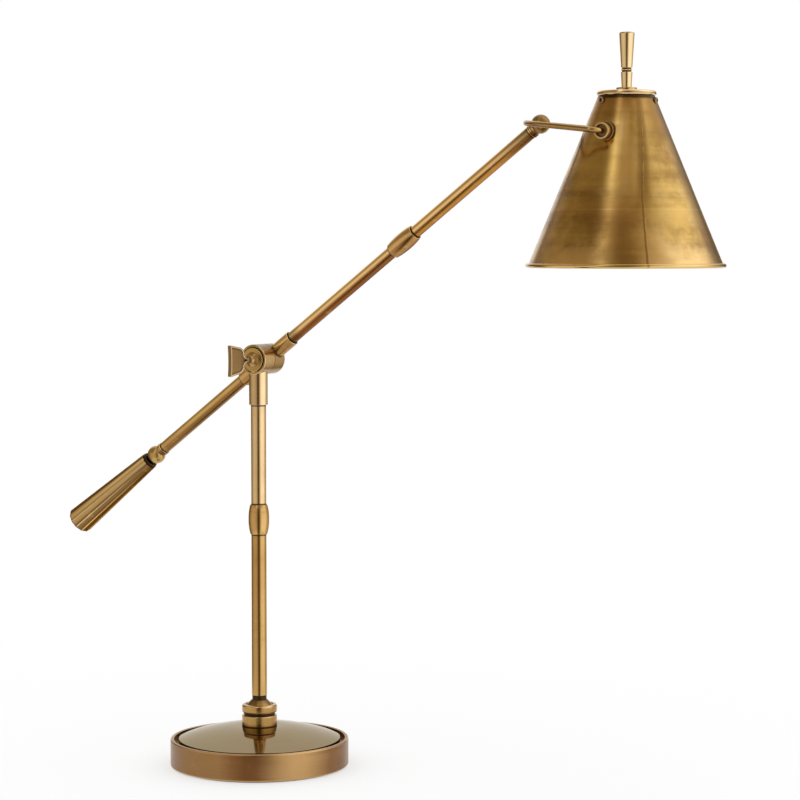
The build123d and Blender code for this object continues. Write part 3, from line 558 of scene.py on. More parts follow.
class Materials:
    """Materials made so far, one for each finish and stance."""

    def __init__(self) -> None:
        """Start with none."""
        self.made: Dict[Tuple[str, Tuple[float, ...]], bpy.types.Material] = {}

    def get(self, finish: Finish, place: Matrix) -> bpy.types.Material:
        """The material of a finish in a stance.

        Args:
            finish: Finish to use.
            place: Stance that its grain follows.

        Returns:
            The material, made on first use.
        """
        key = (finish.name, tuple(round(value, 4) for row in place for value in row))
        if key not in self.made:
            self.made[key], graph = new_material(f"{finish.name}_{len(self.made)}")
            finish.fill(graph, place)
        return self.made[key]


def once(items: Iterable[Any]) -> List[Any]:
    """Points, edges or faces of a mesh, each once and in the order in which they come up."""
    return list(dict.fromkeys(items))


class Workpiece:
    """One mesh in the making, in millimetres, worked with bmesh operators."""

    broad_rounding: ClassVar[float] = 4.0
    merge_distance: ClassVar[float] = 1e-4
    axis_distance: ClassVar[float] = 1e-6
    crisp_angle: ClassVar[float] = radians(34.0)

    def __init__(self) -> None:
        """Start empty, with layers that mark rubbed edges and painted shade with grime in hollows."""
        self.bm = bmesh.new()
        self.wear = self.bm.verts.layers.float.new("wear")
        # Share of painted shade, with some grime, on each point: hollows and gaps between parts.
        self.shade_and_grime = self.bm.verts.layers.float.new("shade_and_grime")

    def turned(self, *corners: Corner, steps: int = 96, place: Optional[Matrix] = None) -> "Workpiece":
        """Turn a closed outline about Z.

        Args:
            corners: Each is (radius, height), (radius, height, rounding) or (radius, height, 0, painted
                shade).
            steps: Facets round the axis.
            place: Stance of the turned body.

        Returns:
            This workpiece.
        """
        before = set(self.bm.verts)
        verts = [self.bm.verts.new((corner[0], 0.0, corner[1])) for corner in corners]
        self.bm.faces.new(verts)
        for vert, corner in zip(verts, corners):
            # A fourth number is the share of painted shade, with some grime, on the point.
            if len(corner) > 3:
                vert[self.shade_and_grime] = corner[3]
            elif len(corner) > 2:
                self._round_corner(vert, corner[2])
        fresh = [vert for vert in self.bm.verts if vert not in before]
        faces = once(face for vert in fresh for face in vert.link_faces)
        bmesh.ops.delete(self.bm, geom=faces, context="FACES_ONLY")
        on_axis = [edge for edge in once(edge for vert in fresh for edge in vert.link_edges)
                   if all(abs(vert.co.x) < self.axis_distance for vert in edge.verts)]
        bmesh.ops.delete(self.bm, geom=on_axis, context="EDGES")
        fresh = [vert for vert in self.bm.verts if vert not in before]
        edges = once(edge for vert in fresh for edge in vert.link_edges)
        bmesh.ops.spin(
            self.bm, geom=fresh + edges, cent=(0, 0, 0), axis=(0, 0, 1), dvec=(0, 0, 0), angle=tau,
            steps=steps, use_merge=True, use_normal_flip=False, use_duplicate=False)
        return self._settle(before, place)

    def bevel(self, geom: Sequence[Any], offset: float, segments: int,
              affect: str = "EDGES") -> Dict[str, Any]:
        """Round edges, or the corners of a flat outline.

        Args:
            geom: Edges or points to round.
            offset: Width of the rounding on each side.
            segments: Facets across it.
            affect: "EDGES" or "VERTICES".

        Returns:
            What the operator made.
        """
        return bmesh.ops.bevel(
            self.bm, geom=geom, offset=offset, offset_type="OFFSET", segments=segments, profile=0.5,
            affect=affect, material=-1, clamp_overlap=affect == "EDGES")

    def _round_corner(self, vert: bmesh.types.BMVert, rounding: float) -> None:
        """Round one corner of a flat outline and mark it as rubbed if it is small.

        Args:
            vert: The corner.
            rounding: Width of the rounding on each side.
        """
        small = rounding < self.broad_rounding
        points = set(self.bevel([vert], rounding, 4 if small else 18, "VERTICES")["verts"])
        for point in points:
            if small and all(edge.other_vert(point) in points for edge in point.link_edges):
                point[self.wear] = 1.0

    def ease(self, edges: Edges, offset: float, segments: int = 2) -> "Workpiece":
        """Round edges and mark the middle of each rounding as rubbed.

        Args:
            edges: Edges to round.
            offset: Width of the rounding on each side.
            segments: Facets across it.

        Returns:
            This workpiece.
        """
        made = self.bevel(edges, offset, segments)
        faces = set(made["faces"])
        for vert in made["verts"]:
            if all(face in faces for face in vert.link_faces):
                vert[self.wear] = 1.0
        return self

    def _settle(self, before: set, place: Optional[Matrix]) -> "Workpiece":
        """Merge the new points, turn their faces outwards and put them in place.

        Args:
            before: Points that were there already.
            place: Stance of the new part.

        Returns:
            This workpiece.
        """
        fresh = [vert for vert in self.bm.verts if vert not in before]
        bmesh.ops.remove_doubles(self.bm, verts=fresh, dist=self.merge_distance)
        fresh = [vert for vert in self.bm.verts if vert not in before]
        faces = once(face for vert in fresh for face in vert.link_faces)
        bmesh.ops.recalc_face_normals(self.bm, faces=faces)
        if place is not None:
            bmesh.ops.transform(self.bm, matrix=place, verts=fresh)
        return self

    def tube(self, outer: float, inner: float, low: float, high: float, rounding: float = 0.3,
             place: Optional[Matrix] = None, steps: int = 96) -> "Workpiece":
        """Turn a plain tube with eased outer edges."""
        return self.turned((inner, low), (outer, low, rounding), (outer, high, rounding), (inner, high),
                           steps=steps, place=place)

    def sooty_tube(self, outer: float, inner: float, low: float, high: float, *seams: Tuple[float, int],
                   reach: float = 2.0, film: Sequence[Tuple[float, float]] = ()) -> "Workpiece":
        """Turn a tube with painted shade and grime beside the pieces pushed onto it.

        Args:
            outer: Outer radius.
            inner: Inner radius.
            low: Height of its lower end.
            high: Height of its upper end.
            seams: Height of each edge on the tube, and the side of it (1 or -1) that is darkened.
            reach: How far the darkening fades out.
            film: More heights, each with its share of darkening.

        Returns:
            This workpiece.
        """
        # Painted shade with grime beside each seam, fading out over the reach.
        points = [point for height, side in seams for point in (
            (height - side * 0.3, 1.0), (height + side * 0.9, 1.0), (height + side * reach, 0.0))]
        heights = sorted([*points, *film])
        wall = [(outer, height, 0, shade_and_grime) for height, shade_and_grime in heights if low < height < high]
        return self.turned((inner, low), (outer, low), *wall, (outer, high), (inner, high))

    def ball(self, radius: float, place: Matrix, around: int = 64, down: int = 32) -> "Workpiece":
        """Add a ball.

        Args:
            radius: Its radius.
            place: Stance of the ball.
            around: Facets round its axis.
            down: Facets from pole to pole.

        Returns:
            This workpiece.
        """
        before = set(self.bm.verts)
        bmesh.ops.create_uvsphere(self.bm, u_segments=around, v_segments=down, radius=radius)
        return self._settle(before, place)

    def place(self, stance: Matrix) -> "Workpiece":
        """Move the whole workpiece."""
        bmesh.ops.transform(self.bm, matrix=stance, verts=self.bm.verts[:])
        return self

    def to_object(self, name: str) -> bpy.types.Object:
        """Finish the mesh in metres and link it to the scene.

        Args:
            name: Name of the piece.

        Returns:
            The new object, at the origin.
        """
        bmesh.ops.transform(self.bm, matrix=Matrix.Scale(MM, 4), verts=self.bm.verts[:])
        for face in self.bm.faces:
            face.smooth = True
        for edge in self.bm.edges:
            edge.smooth = edge.calc_face_angle(0.0) < self.crisp_angle
        mesh = bpy.data.meshes.new(name)
        self.bm.to_mesh(mesh)
        self.bm.free()
        made = bpy.data.objects.new(name, mesh)
        bpy.context.scene.collection.objects.link(made)
        flat = made.modifiers.new("flat_faces", "WEIGHTED_NORMAL")
        flat.keep_sharp = True
        return made


@dataclass(frozen=True)
class Layout:
    """Where the lamp's stretches stand, in millimetres and degrees."""

    clamp_z: float = 427.5
    boom_y: float = 17.85
    boom_angle: float = 36.2
    boom_length: float = 401.0
    fork_length: float = 93.6
    fork_drop: float = 6.4
    hinge_depth: float = 35.0

    @property
    def stem(self) -> Matrix:
        """Upright on the base's centre."""
        return Matrix.Identity(4)

    @property
    def clamp(self) -> Matrix:
        """On the clamp axis, +Z to the front."""
        return Matrix.Translation((0, 0, self.clamp_z)) @ Matrix.Rotation(radians(90), 4, "X")

    @property
    def boom(self) -> Matrix:
        """Along the boom, +Z to its tip and +X to its underside."""
        turn = Matrix.Rotation(radians(90 - self.boom_angle), 4, "Y")
        return Matrix.Translation((0, self.boom_y, self.clamp_z)) @ turn

    @property
    def fork(self) -> Matrix:
        """At the tip ball, +X along the fork's legs."""
        tip = self.boom @ Vector((0, 0, self.boom_length))
        return Matrix.Translation(tip) @ Matrix.Rotation(radians(self.fork_drop), 4, "Y")

    @property
    def hinge(self) -> Vector:
        """Middle of the shade's hinge axis."""
        return self.fork @ Vector((self.fork_length, 0, 0))

    @property
    def shade(self) -> Matrix:
        """On the shade's axis at its upper edge, +Z up."""
        return Matrix.Translation(self.hinge + Vector((0, 0, self.hinge_depth)))

    def pivot(self, side: int) -> Matrix:
        """On the hinge axis, +Z away from the shade; side 1 is the front, -1 the back."""
        return Matrix.Translation(self.hinge) @ Matrix.Rotation(radians(90 * side), 4, "X")


class Slot(Enum):
    """Material slots of the record."""

    AGED = "aged_brass"
    POLISHED = "polished_brass"
    SHADE = "shade_brass"
    DARK = "dark_brass"


@dataclass
class SubAssembly:
    """A group of pieces that ride on one body."""

    body: ClassVar[str] = ""
    layout: Layout
    materials: Materials
    nodes: Mapping[str, bpy.types.Object]

    def add(self, work: Workpiece, node: str, finish: Finish, place: Matrix,
            slot: Slot = Slot.AGED) -> bpy.types.Object:
        """Put a worked piece in the place of its plain solid.

        Args:
            work: The piece.
            node: Solid that it stands for.
            finish: Its finish.
            place: Stance that the grain follows.
            slot: Material slot of the record; not used.

        Returns:
            The new object.
        """
        made = work.to_object(f"fine_{node}")
        made.data.materials.append(self.materials.get(finish, place))
        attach(made, self.body)
        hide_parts(node)
        LOG.info("%s: %s, %d faces", self.body, made.name, len(made.data.polygons))
        return made

    def coat(self, finish: Finish, *names: str) -> None:
        """Give plain solids a finish.

        Args:
            finish: Finish to use.
            names: Solids that keep their own shape.
        """
        material = self.materials.get(finish, self.layout.stem)
        for name in names:
            for slot in self.nodes[name].material_slots:
                slot.material = material
            LOG.info("%s: %s keeps its solid", self.body, name)


@dataclass
class Base(SubAssembly):
    """Weighted round base with the fixed half of the swivel foot."""

    body: ClassVar[str] = "base"
    steps: int = 192
    rim_r: float = 93.5
    rim_inner_r: float = 89.7
    rim_low: float = 1.2
    rim_h: float = 29.7
    ledge_r: float = 76.8
    ledge_low: float = 19.7
    ledge_z: float = 22.7
    plate_r: float = 84.8
    plate_z: float = 29.4
    plate_inner_z: float = 27.6
    plate_wall: float = 1.8
    plate_hole_r: float = 5.3
    bend_r: float = 53.5
    bend_rounding: float = 33.8
    inner_rounding: float = 33.0
    crown_z: float = 42.4
    foot_r: float = 18.4
    foot_hole_r: float = 5.05
    foot_top: float = 53.8

    def build(self) -> None:
        """Make the rim, the domed plate and the foot ring."""
        stance = self.layout.stem
        rim = Workpiece().turned(
            (self.rim_inner_r, self.rim_low), (self.rim_r, self.rim_low, 2.0), (self.rim_r, self.rim_h, 1.6),
            (self.rim_inner_r, self.rim_h, 0.8), (self.rim_inner_r, self.ledge_z),
            (self.ledge_r, self.ledge_z), (self.ledge_r, self.ledge_low), (self.rim_inner_r, self.ledge_low),
            steps=self.steps)
        self.add(rim, "base_rim", RIM_BRASS, stance)
        inner_r, under_z = self.plate_r - self.plate_wall, self.crown_z - self.plate_wall
        plate = Workpiece().turned(
            (self.plate_hole_r, self.crown_z), (self.bend_r, self.crown_z, self.bend_rounding),
            (self.plate_r, self.plate_z, 1.0), (self.plate_r, self.ledge_z), (inner_r, self.ledge_z),
            (inner_r, self.plate_inner_z), (self.bend_r, under_z, self.inner_rounding),
            (self.plate_hole_r, under_z), steps=self.steps)
        self.add(plate, "base_plate", PLATE_BRASS, stance, Slot.POLISHED)
        # Painted shade where the foot ring meets the plate.
        ring = Workpiece().turned(
            (self.foot_hole_r, self.crown_z), (self.foot_r, self.crown_z, 0, 1),
            (self.foot_r, self.crown_z + 0.7, 0, 1), (self.foot_r, self.crown_z + 1.6, 0, 0),
            (self.foot_r, self.foot_top, 1.0), (self.foot_hole_r, self.foot_top))
        self.add(ring, "foot_ring", FOOT_BRASS, stance)

    def dress(self) -> None:
        """Coat what stays a plain solid."""
        self.coat(FELT, "felt_pad")
        self.coat(STEEL, "base_cover", "cover_screws", "base_rod", "rod_nut", "rod_washer", "swivel_locknut")
        self.coat(IRON, "base_weight")
        self.coat(PHENOLIC, "cord_bushing")
        self.coat(BLACKENED, "swivel_washer")


@dataclass
class Stem(SubAssembly):
    """Turning collar, two tubes with a barrel between them, and the clamp's front half."""

    body: ClassVar[str] = "stem"
    # A fourth number in a corner paints shade: dark in the collar's groove and its neck.
    cone: ClassVar[Profile] = (
        (14.2, 64.4, 0, 1), (13.5, 64.4, 0, 1), (13.2, 64.8, 0, 0.2), (8.4, 69.6, 0, 0.6), (7.5, 69.8, 0, 1),
        (7.5, 74.0, 0, 1), (7.25, 74.0, 0, 1))
    # Painted shade at the joint with the block and in the recess inside the lip.
    head: ClassVar[Profile] = (
        (0, -8.0), (15.5, -8.0, 0, 1), (15.85, -7.7, 0, 0.2), (15.85, -6.8), (15.85, 9.9, 1.0),
        (13.6, 9.9, 0.3), (13.4, 9.4, 0, 0.7), (13.4, 8.4, 0, 1), (12.0, 8.4, 0, 1), (0, 8.4))
    tube_r: float = 7.95
    bore_r: float = 7.15
    rod_hole_r: float = 5.05
    collar_r: float = 18.4
    collar_z: float = 56.3
    collar_top: float = 65.1
    groove_r: float = 14.3
    neck_r: float = 7.25
    tube_z: float = 74.6
    tube_top: float = 406.05
    tube_gap: float = 2.0
    barrel_z: float = 260.0
    barrel_half: float = 15.45
    barrel_end_r: float = 8.9
    barrel_r: float = 10.95
    sleeve_r: float = 9.75
    sleeve_bore_r: float = 8.0
    sleeve_drop: float = 26.0
    sleeve_rise: float = 9.0
    spigot_r: float = 7.1
    spigot_z: float = 394.0
    boss_r: float = 9.7
    boss_top: float = 420.0

    def build(self) -> None:
        """Make the pieces from the collar up."""
        stance = self.layout.stem
        collar = Workpiece().turned(
            (self.rod_hole_r, self.collar_z), (self.collar_r, self.collar_z, 2.0),
            (self.collar_r, self.collar_top, 2.0), (self.groove_r, self.collar_top), *self.cone,
            (self.neck_r, self.tube_z, 0, 1), (self.rod_hole_r, self.tube_z))
        self.add(collar, "foot_collar", FOOT_BRASS, stance)
        # The tubes get painted shade with grime beside the barrel and the sleeve.
        lower = Workpiece().sooty_tube(
            self.tube_r, self.bore_r, self.tube_z, self.barrel_z - self.tube_gap,
            (self.barrel_z - self.barrel_half, -1))
        self.add(lower, "lower_stem_tube", TUBE_BRASS, stance)
        sleeve_low = self.tube_top - self.sleeve_drop
        upper = Workpiece().sooty_tube(
            self.tube_r, self.bore_r, self.barrel_z + self.tube_gap, self.tube_top,
            (self.barrel_z + self.barrel_half, 1), (sleeve_low, -1))
        self.add(upper, "upper_stem_tube", PALE_BRASS, stance)
        barrel = barrel_work(self.tube_r, self.barrel_end_r, self.barrel_r, self.barrel_half)
        barrel.place(Matrix.Translation((0, 0, self.barrel_z)))
        self.add(barrel, "stem_coupling", TURNED_BRASS, stance)
        sleeve = Workpiece().tube(
            self.sleeve_r, self.sleeve_bore_r, sleeve_low, self.tube_top + self.sleeve_rise, 0.5)
        self.add(sleeve, "stem_sleeve", STEM_SLEEVE_BRASS, stance)
        self.build_head()

    def build_head(self) -> None:
        """Make the clamp's front half: a cross cylinder with a lip and a recess, on a short boss."""
        head = Workpiece().turned(*self.head, place=self.layout.clamp)
        head.turned((0, self.spigot_z), (self.spigot_r, self.spigot_z), (self.spigot_r, self.tube_top),
                    (self.boss_r, self.tube_top), (self.boss_r, self.boss_top), (0, self.boss_top))
        self.add(head, "clamp_head", CLAMP_BRASS, self.layout.clamp)

    def dress(self) -> None:
        """Coat what stays a plain solid."""
        self.coat(SHEATH, "stem_lead")


def barrel_work(tube_r: float, end_r: float, middle_r: float, half: float) -> Workpiece:
    """Barrel that joins two tubes, about the middle of Z.

    Args:
        tube_r: Radius of the tubes.
        end_r: Outer radius at both ends.
        middle_r: Outer radius at the middle.
        half: Half its length.

    Returns:
        The workpiece.
    """
    mouth_r = (tube_r + end_r) / 2
    mouth_depth = 2.5
    bore_r = tube_r + 0.02
    rounded_share = 0.4142
    bulge = (middle_r - end_r) / rounded_share
    slant = (half * half + bulge * bulge) ** 0.5 * 0.985
    return Workpiece().turned(
        (mouth_r, -half, 0.15), (end_r, -half, 0.2), (end_r + bulge, 0, slant), (end_r, half, 0.2),
        (mouth_r, half, 0.15), (mouth_r, half - mouth_depth), (bore_r, half - mouth_depth),
        (bore_r, mouth_depth - half), (mouth_r, mouth_depth - half))


def moved_on(profile: Profile, by: float) -> List[Corner]:
    """The same outline, further along its axis."""
    return [(radius, by + along, *rest) for radius, along, *rest in profile]


@dataclass
class Boom(SubAssembly):
    """Tilting boom: clamp block, sleeves, tubes, barrel, balls and the faceted counterweight.

    Films give distances along a tube, each with how much the tube is darkened there.
    """

    body: ClassVar[str] = "boom"
    # Painted shade at the joint with the clamp's front half.
    block: ClassVar[Profile] = (
        (0, -8.1), (15.5, -8.1, 0, 1), (15.85, -8.4, 0, 0.2), (15.85, -9.3), (15.85, -27.6, 2.6), (0, -27.6))
    # Films: darkening beside the sleeve's mouth, and darkening that grows towards the tip ball.
    sleeve_film: ClassVar[Profile] = ((-0.3, 1.0), (0.9, 1.0), (2.0, 0.45), (9.0, 0.35), (18.0, 0.0))
    tip_film: ClassVar[Profile] = (
        (68.0, 0.0), (44.0, 0.2), (24.0, 0.5), (14.8, 0.65), (13.7, 1.0), (12.4, 1.0))
    # The grooves of both collars carry painted shade.
    tip_collar: ClassVar[Profile] = (
        (6.4, -3.4), (7.0, -3.4, 0.3), (7.0, -2.2), (6.6, -2.1, 0, 1), (6.6, -1.5, 0, 1), (7.0, -1.4),
        (7.0, -0.3), (6.7, -0.2, 0, 1), (6.7, 0, 0, 1), (6.4, 0))
    rear_collar: ClassVar[Profile] = (
        (6.4, 0), (6.7, 0, 0, 1), (6.7, 0.3, 0, 1), (7.0, 0.4), (7.0, 1.4), (6.6, 1.5, 0, 1),
        (6.6, 2.0, 0, 1), (7.0, 2.1), (7.0, 3.4, 0.3), (6.4, 3.4))
    tube_r: float = 6.35
    bore_r: float = 5.55
    tube_gap: float = 2.0
    socket_s: float = 8.0
    sleeve_r: float = 8.0
    sleeve_bore_r: float = 6.4
    sleeve_end: float = 37.9
    barrel_s: float = 207.2
    barrel_half: float = 16.25
    barrel_end_r: float = 8.1
    barrel_r: float = 9.55
    tip_r: float = 9.35
    rear_s: float = -181.9
    rear_r: float = 9.7
    ball_bite: float = 4.6
    collar_h: float = 3.4
    lip_r: float = 3.6
    lip_bore_r: float = 2.75
    lip_low: float = 8.3
    lip_top: float = 9.2
    stud_r: float = 4.5
    stud_s: float = -207.0
    flange_r: float = 8.6
    flange_h: float = 3.0
    weight_s: float = -193.8
    weight_length: float = 120.8
    weight_big_r: float = 15.3
    weight_small_r: float = 9.5
    weight_flats: int = 12
    ridge_min: float = 60.0
    ridge_rounding: float = 1.0
    weight_end_rounding: float = 3.0

    @property
    def tip_s(self) -> float:
        """Distance of the tip ball from the clamp axis."""
        return self.layout.boom_length

    def build(self) -> None:
        """Make the block and every piece along the boom."""
        block = Workpiece().turned(*self.block, place=self.layout.clamp)
        self.add(block, "boom_block", BLOCK_BRASS, self.layout.clamp)
        self.along("front_sleeve", self.sleeve(1), SLEEVE_BRASS)
        self.along("rear_sleeve", self.sleeve(-1), SLEEVE_BRASS)
        near = [(self.sleeve_end + along, share) for along, share in self.sleeve_film]
        self.along("lower_boom_tube", Workpiece().sooty_tube(
            self.tube_r, self.bore_r, self.socket_s, self.barrel_s - self.tube_gap,
            (self.barrel_s - self.barrel_half, -1), film=near))
        far = [(self.tip_s - back, share) for back, share in self.tip_film]
        self.along("upper_boom_tube", Workpiece().sooty_tube(
            self.tube_r, self.bore_r, self.barrel_s + self.tube_gap, self.tip_s - self.ball_bite,
            (self.barrel_s + self.barrel_half, 1), film=far), UPPER_BRASS)
        barrel = barrel_work(self.tube_r, self.barrel_end_r, self.barrel_r, self.barrel_half)
        self.along("boom_coupling", barrel.place(Matrix.Translation((0, 0, self.barrel_s))), SLEEVE_BRASS)
        self.along("rear_tube", Workpiece().sooty_tube(
            self.tube_r, self.bore_r, self.rear_s + self.ball_bite, -self.socket_s, (-self.sleeve_end, -1),
            (self.rear_s + self.rear_r + self.collar_h, 1)), REAR_BRASS)
        self.build_tip()
        self.build_rear()
        self.add(self.weight(), "counterweight", WEIGHT_BRASS, self.layout.boom)

    def along(self, node: str, work: Workpiece, finish: Finish = BOOM_BRASS, slot: Slot = Slot.AGED) -> None:
        """Lay a piece along the boom and add it."""
        self.add(work.place(self.layout.boom), node, finish, self.layout.boom, slot)

    def sleeve(self, side: int) -> Workpiece:
        """Make a sleeve, with painted shade inside its mouth and where it leaves the block.

        Args:
            side: 1 for the tip side, -1 for the rear side.

        Returns:
            The workpiece, along Z.
        """
        bore, outer, end = self.sleeve_bore_r, self.sleeve_r, self.sleeve_end
        turn = Matrix.Rotation(0.0 if side > 0 else pi, 4, "X")
        return Workpiece().turned(
            (bore, self.socket_s), (outer, self.socket_s), (outer, 15.2, 0, 1), (outer, 17.6, 0, 0),
            (outer, end, 0.5), (7.2, end, 0, 0.6), (bore, end - 0.5, 0, 1), place=turn)

    def build_tip(self) -> None:
        """Make the grooved collar and the ball at the tip, with a lip round each mouth of its bore."""
        self.along("tip_collar", Workpiece().turned(*moved_on(self.tip_collar, self.tip_s - self.tip_r)))
        centre = Matrix.Translation((0, 0, self.tip_s))
        ball = Workpiece().ball(self.tip_r, centre)
        for side in (1, -1):
            lip = centre @ Matrix.Rotation(radians(90 * side), 4, "X")
            ball.tube(self.lip_r, self.lip_bore_r, self.lip_low, self.lip_top, 0.25, lip, 48)
        self.along("tip_ball", ball, BALL_BRASS)

    def build_rear(self) -> None:
        """Make the ball, its collar and the dark stud behind the clamp."""
        self.along("rear_collar", Workpiece().turned(*moved_on(self.rear_collar, self.rear_s + self.rear_r)))
        ball = Workpiece().ball(self.rear_r, Matrix.Translation((0, 0, self.rear_s)))
        self.along("rear_ball", ball, REAR_BALL_BRASS)
        flange_top, stud_top = self.weight_s + self.flange_h, self.rear_s - self.ball_bite
        stud = Workpiece().turned(
            (0, self.stud_s), (self.stud_r, self.stud_s), (self.stud_r, self.weight_s),
            (self.flange_r, self.weight_s, 1.2), (self.flange_r, flange_top, 1.2), (self.stud_r, flange_top),
            (self.stud_r, stud_top), (0, stud_top), steps=64)
        self.along("weight_stud", stud, BLACKENED, Slot.DARK)

    def weight(self) -> Workpiece:
        """Make the counterweight: flats with rubbed ridges and a rounded big end.

        Returns:
            The workpiece, laid along the boom.
        """
        work = Workpiece()
        bmesh.ops.create_cone(work.bm, cap_ends=True, segments=self.weight_flats, radius1=self.weight_big_r,
                              radius2=self.weight_small_r, depth=self.weight_length)
        big_end = min(work.bm.faces, key=lambda face: face.calc_center_median().z)
        work.bevel(list(big_end.edges), self.weight_end_rounding, 5)
        work.ease([edge for edge in work.bm.edges if edge.calc_length() > self.ridge_min],
                  self.ridge_rounding, 3)
        middle = self.weight_s - self.weight_length / 2
        return work.place(self.layout.boom @ Matrix.Translation((0, 0, middle)))

    def dress(self) -> None:
        """Coat what stays a plain solid."""
        self.coat(STEEL, "clamp_nut")
        self.coat(SHEATH, "boom_lead")


@dataclass
class ThumbScrew(SubAssembly):
    """Fan-shaped wing on a hub, the disc below it and the screw.

    Bracket gives reach and half height; panel steps give width, depth, wear and painted shade.
    End hollow gives a share of the end's height, and the depth there.
    """

    body: ClassVar[str] = "thumb"
    # Painted shade where the hub meets the disc and where it runs into the wing.
    hub: ClassVar[Profile] = (
        (0, 0), (8.0, 0, 0, 0.9), (7.7, 0.6, 0, 0.1), (5.4, 2.4), (4.4, 3.4), (3.6, 4.6), (3.3, 6.0),
        (3.3, 9.6, 0, 0.5), (2.4, 10.5), (0, 10.5))
    bracket: ClassVar[Profile] = ((12.8, 2.8), (15.4, 4.2), (16.8, 6.4), (17.4, 9.0), (19.2, 11.6))
    # The second step paints a shadow along the panel's sunk edge; the third darkens the panel a little.
    panel_steps: ClassVar[Profile] = ((1.6, 0.0, 1.0, 0.0), (0.5, -1.3, 0.0, 0.85), (1.6, 0.0, 0.0, 0.3))
    end_hollow: ClassVar[Profile] = ((0.25, 0.75), (0.0, 1.0), (-0.25, 0.75))
    washer_r: float = 12.4
    washer_back: float = 8.5
    washer_face: float = 10.9
    screw_hole_r: float = 4.05
    reach: float = 41.0
    end_h: float = 32.8
    shoulder_reach: float = 24.0
    shoulder_h: float = 27.2
    neck_start: float = 2.0
    neck_reach: float = 9.0
    neck_h: float = 4.8
    thickness: float = 4.2
    corner_angle: float = 25.0
    corner_rounding: float = 1.3
    edge_angle: float = 40.0
    edge_rounding: float = 0.45
    broad_area: float = 6.0
    broad_side_shade: float = 0.5

    def build(self) -> None:
        """Make the wing and the disc."""
        stance = self.layout.clamp
        work = self.fan().turned(*self.hub, steps=64)
        work.place(stance @ Matrix.Translation((0, 0, self.washer_face)))
        self.add(work, "thumb_wing", WING_BRASS, stance)
        disc = Workpiece().tube(
            self.washer_r, self.screw_hole_r, self.washer_back, self.washer_face, 0.5, stance)
        self.add(disc, "thumb_washer", SATIN_BRASS, stance)

    def fan(self) -> Workpiece:
        """Make the wing's plate: a fan with a hollow end and a sunk panel on each face.

        Returns:
            The workpiece, its reach along Z and its height along Y.
        """
        work = Workpiece()
        bm = work.bm
        half = self.thickness / 2
        edge = [(self.neck_start, self.neck_h / 2), (self.neck_reach, self.neck_h / 2), *self.bracket,
                (self.shoulder_reach, self.shoulder_h / 2), (self.reach, self.end_h / 2)]
        upper, lower = [
            [bm.verts.new((half, side * height, reach)) for reach, height in edge] for side in (1, -1)]
        hollow = [bm.verts.new((half, share * self.end_h, self.reach - depth))
                  for share, depth in self.end_hollow]
        bm.faces.new([*upper[:2], *reversed(lower[:2])])
        bm.faces.new([*upper[1:], *hollow, *reversed(lower[1:])])
        moved = bmesh.ops.extrude_face_region(bm, geom=bm.faces[:])["geom"]
        bmesh.ops.translate(bm, verts=[item for item in moved if isinstance(item, bmesh.types.BMVert)],
                            vec=(-self.thickness, 0, 0))
        bmesh.ops.recalc_face_normals(bm, faces=bm.faces[:])
        self.sink_panels(work)
        self.ease_edges(work)
        return work

    def sink_panels(self, work: Workpiece) -> None:
        """Sink a panel inside the fan's rubbed border, on both faces, with painted shade deepest along its
        sunk edge.

        Args:
            work: The fan.
        """
        panels = [face for face in work.bm.faces
                  if abs(face.normal.x) > 0.9 and face.calc_center_bounds().z > self.shoulder_reach]
        for width, depth, wear, shade_and_grime in self.panel_steps:
            bmesh.ops.inset_region(work.bm, faces=panels, thickness=width, depth=depth, use_boundary=True,
                                   use_even_offset=True)
            for vert in once(vert for face in panels for vert in face.verts):
                vert[work.wear], vert[work.shade_and_grime] = wear, shade_and_grime

    def ease_edges(self, work: Workpiece) -> None:
        """Round the fan's corners, ease and rub every crisp edge, and darken the broad sides with painted
        shade.

        Args:
            work: The fan.
        """
        corners = [edge for edge in work.bm.edges if abs(edge.calc_length() - self.thickness) < 1e-3
                   and edge.calc_face_angle(0.0) > radians(self.corner_angle)]
        work.bevel(corners, self.corner_rounding, 4)
        work.ease([edge for edge in work.bm.edges if edge.calc_face_angle(0.0) > radians(self.edge_angle)],
                  self.edge_rounding)
        # Painted shade on the broad sides.
        for face in work.bm.faces:
            if abs(face.normal.x) < 0.3 and face.calc_area() > self.broad_area:
                for vert in face.verts:
                    vert[work.wear], vert[work.shade_and_grime] = 0.0, self.broad_side_shade

    def dress(self) -> None:
        """Coat what stays a plain solid."""
        self.coat(STEEL, "clamp_screw")


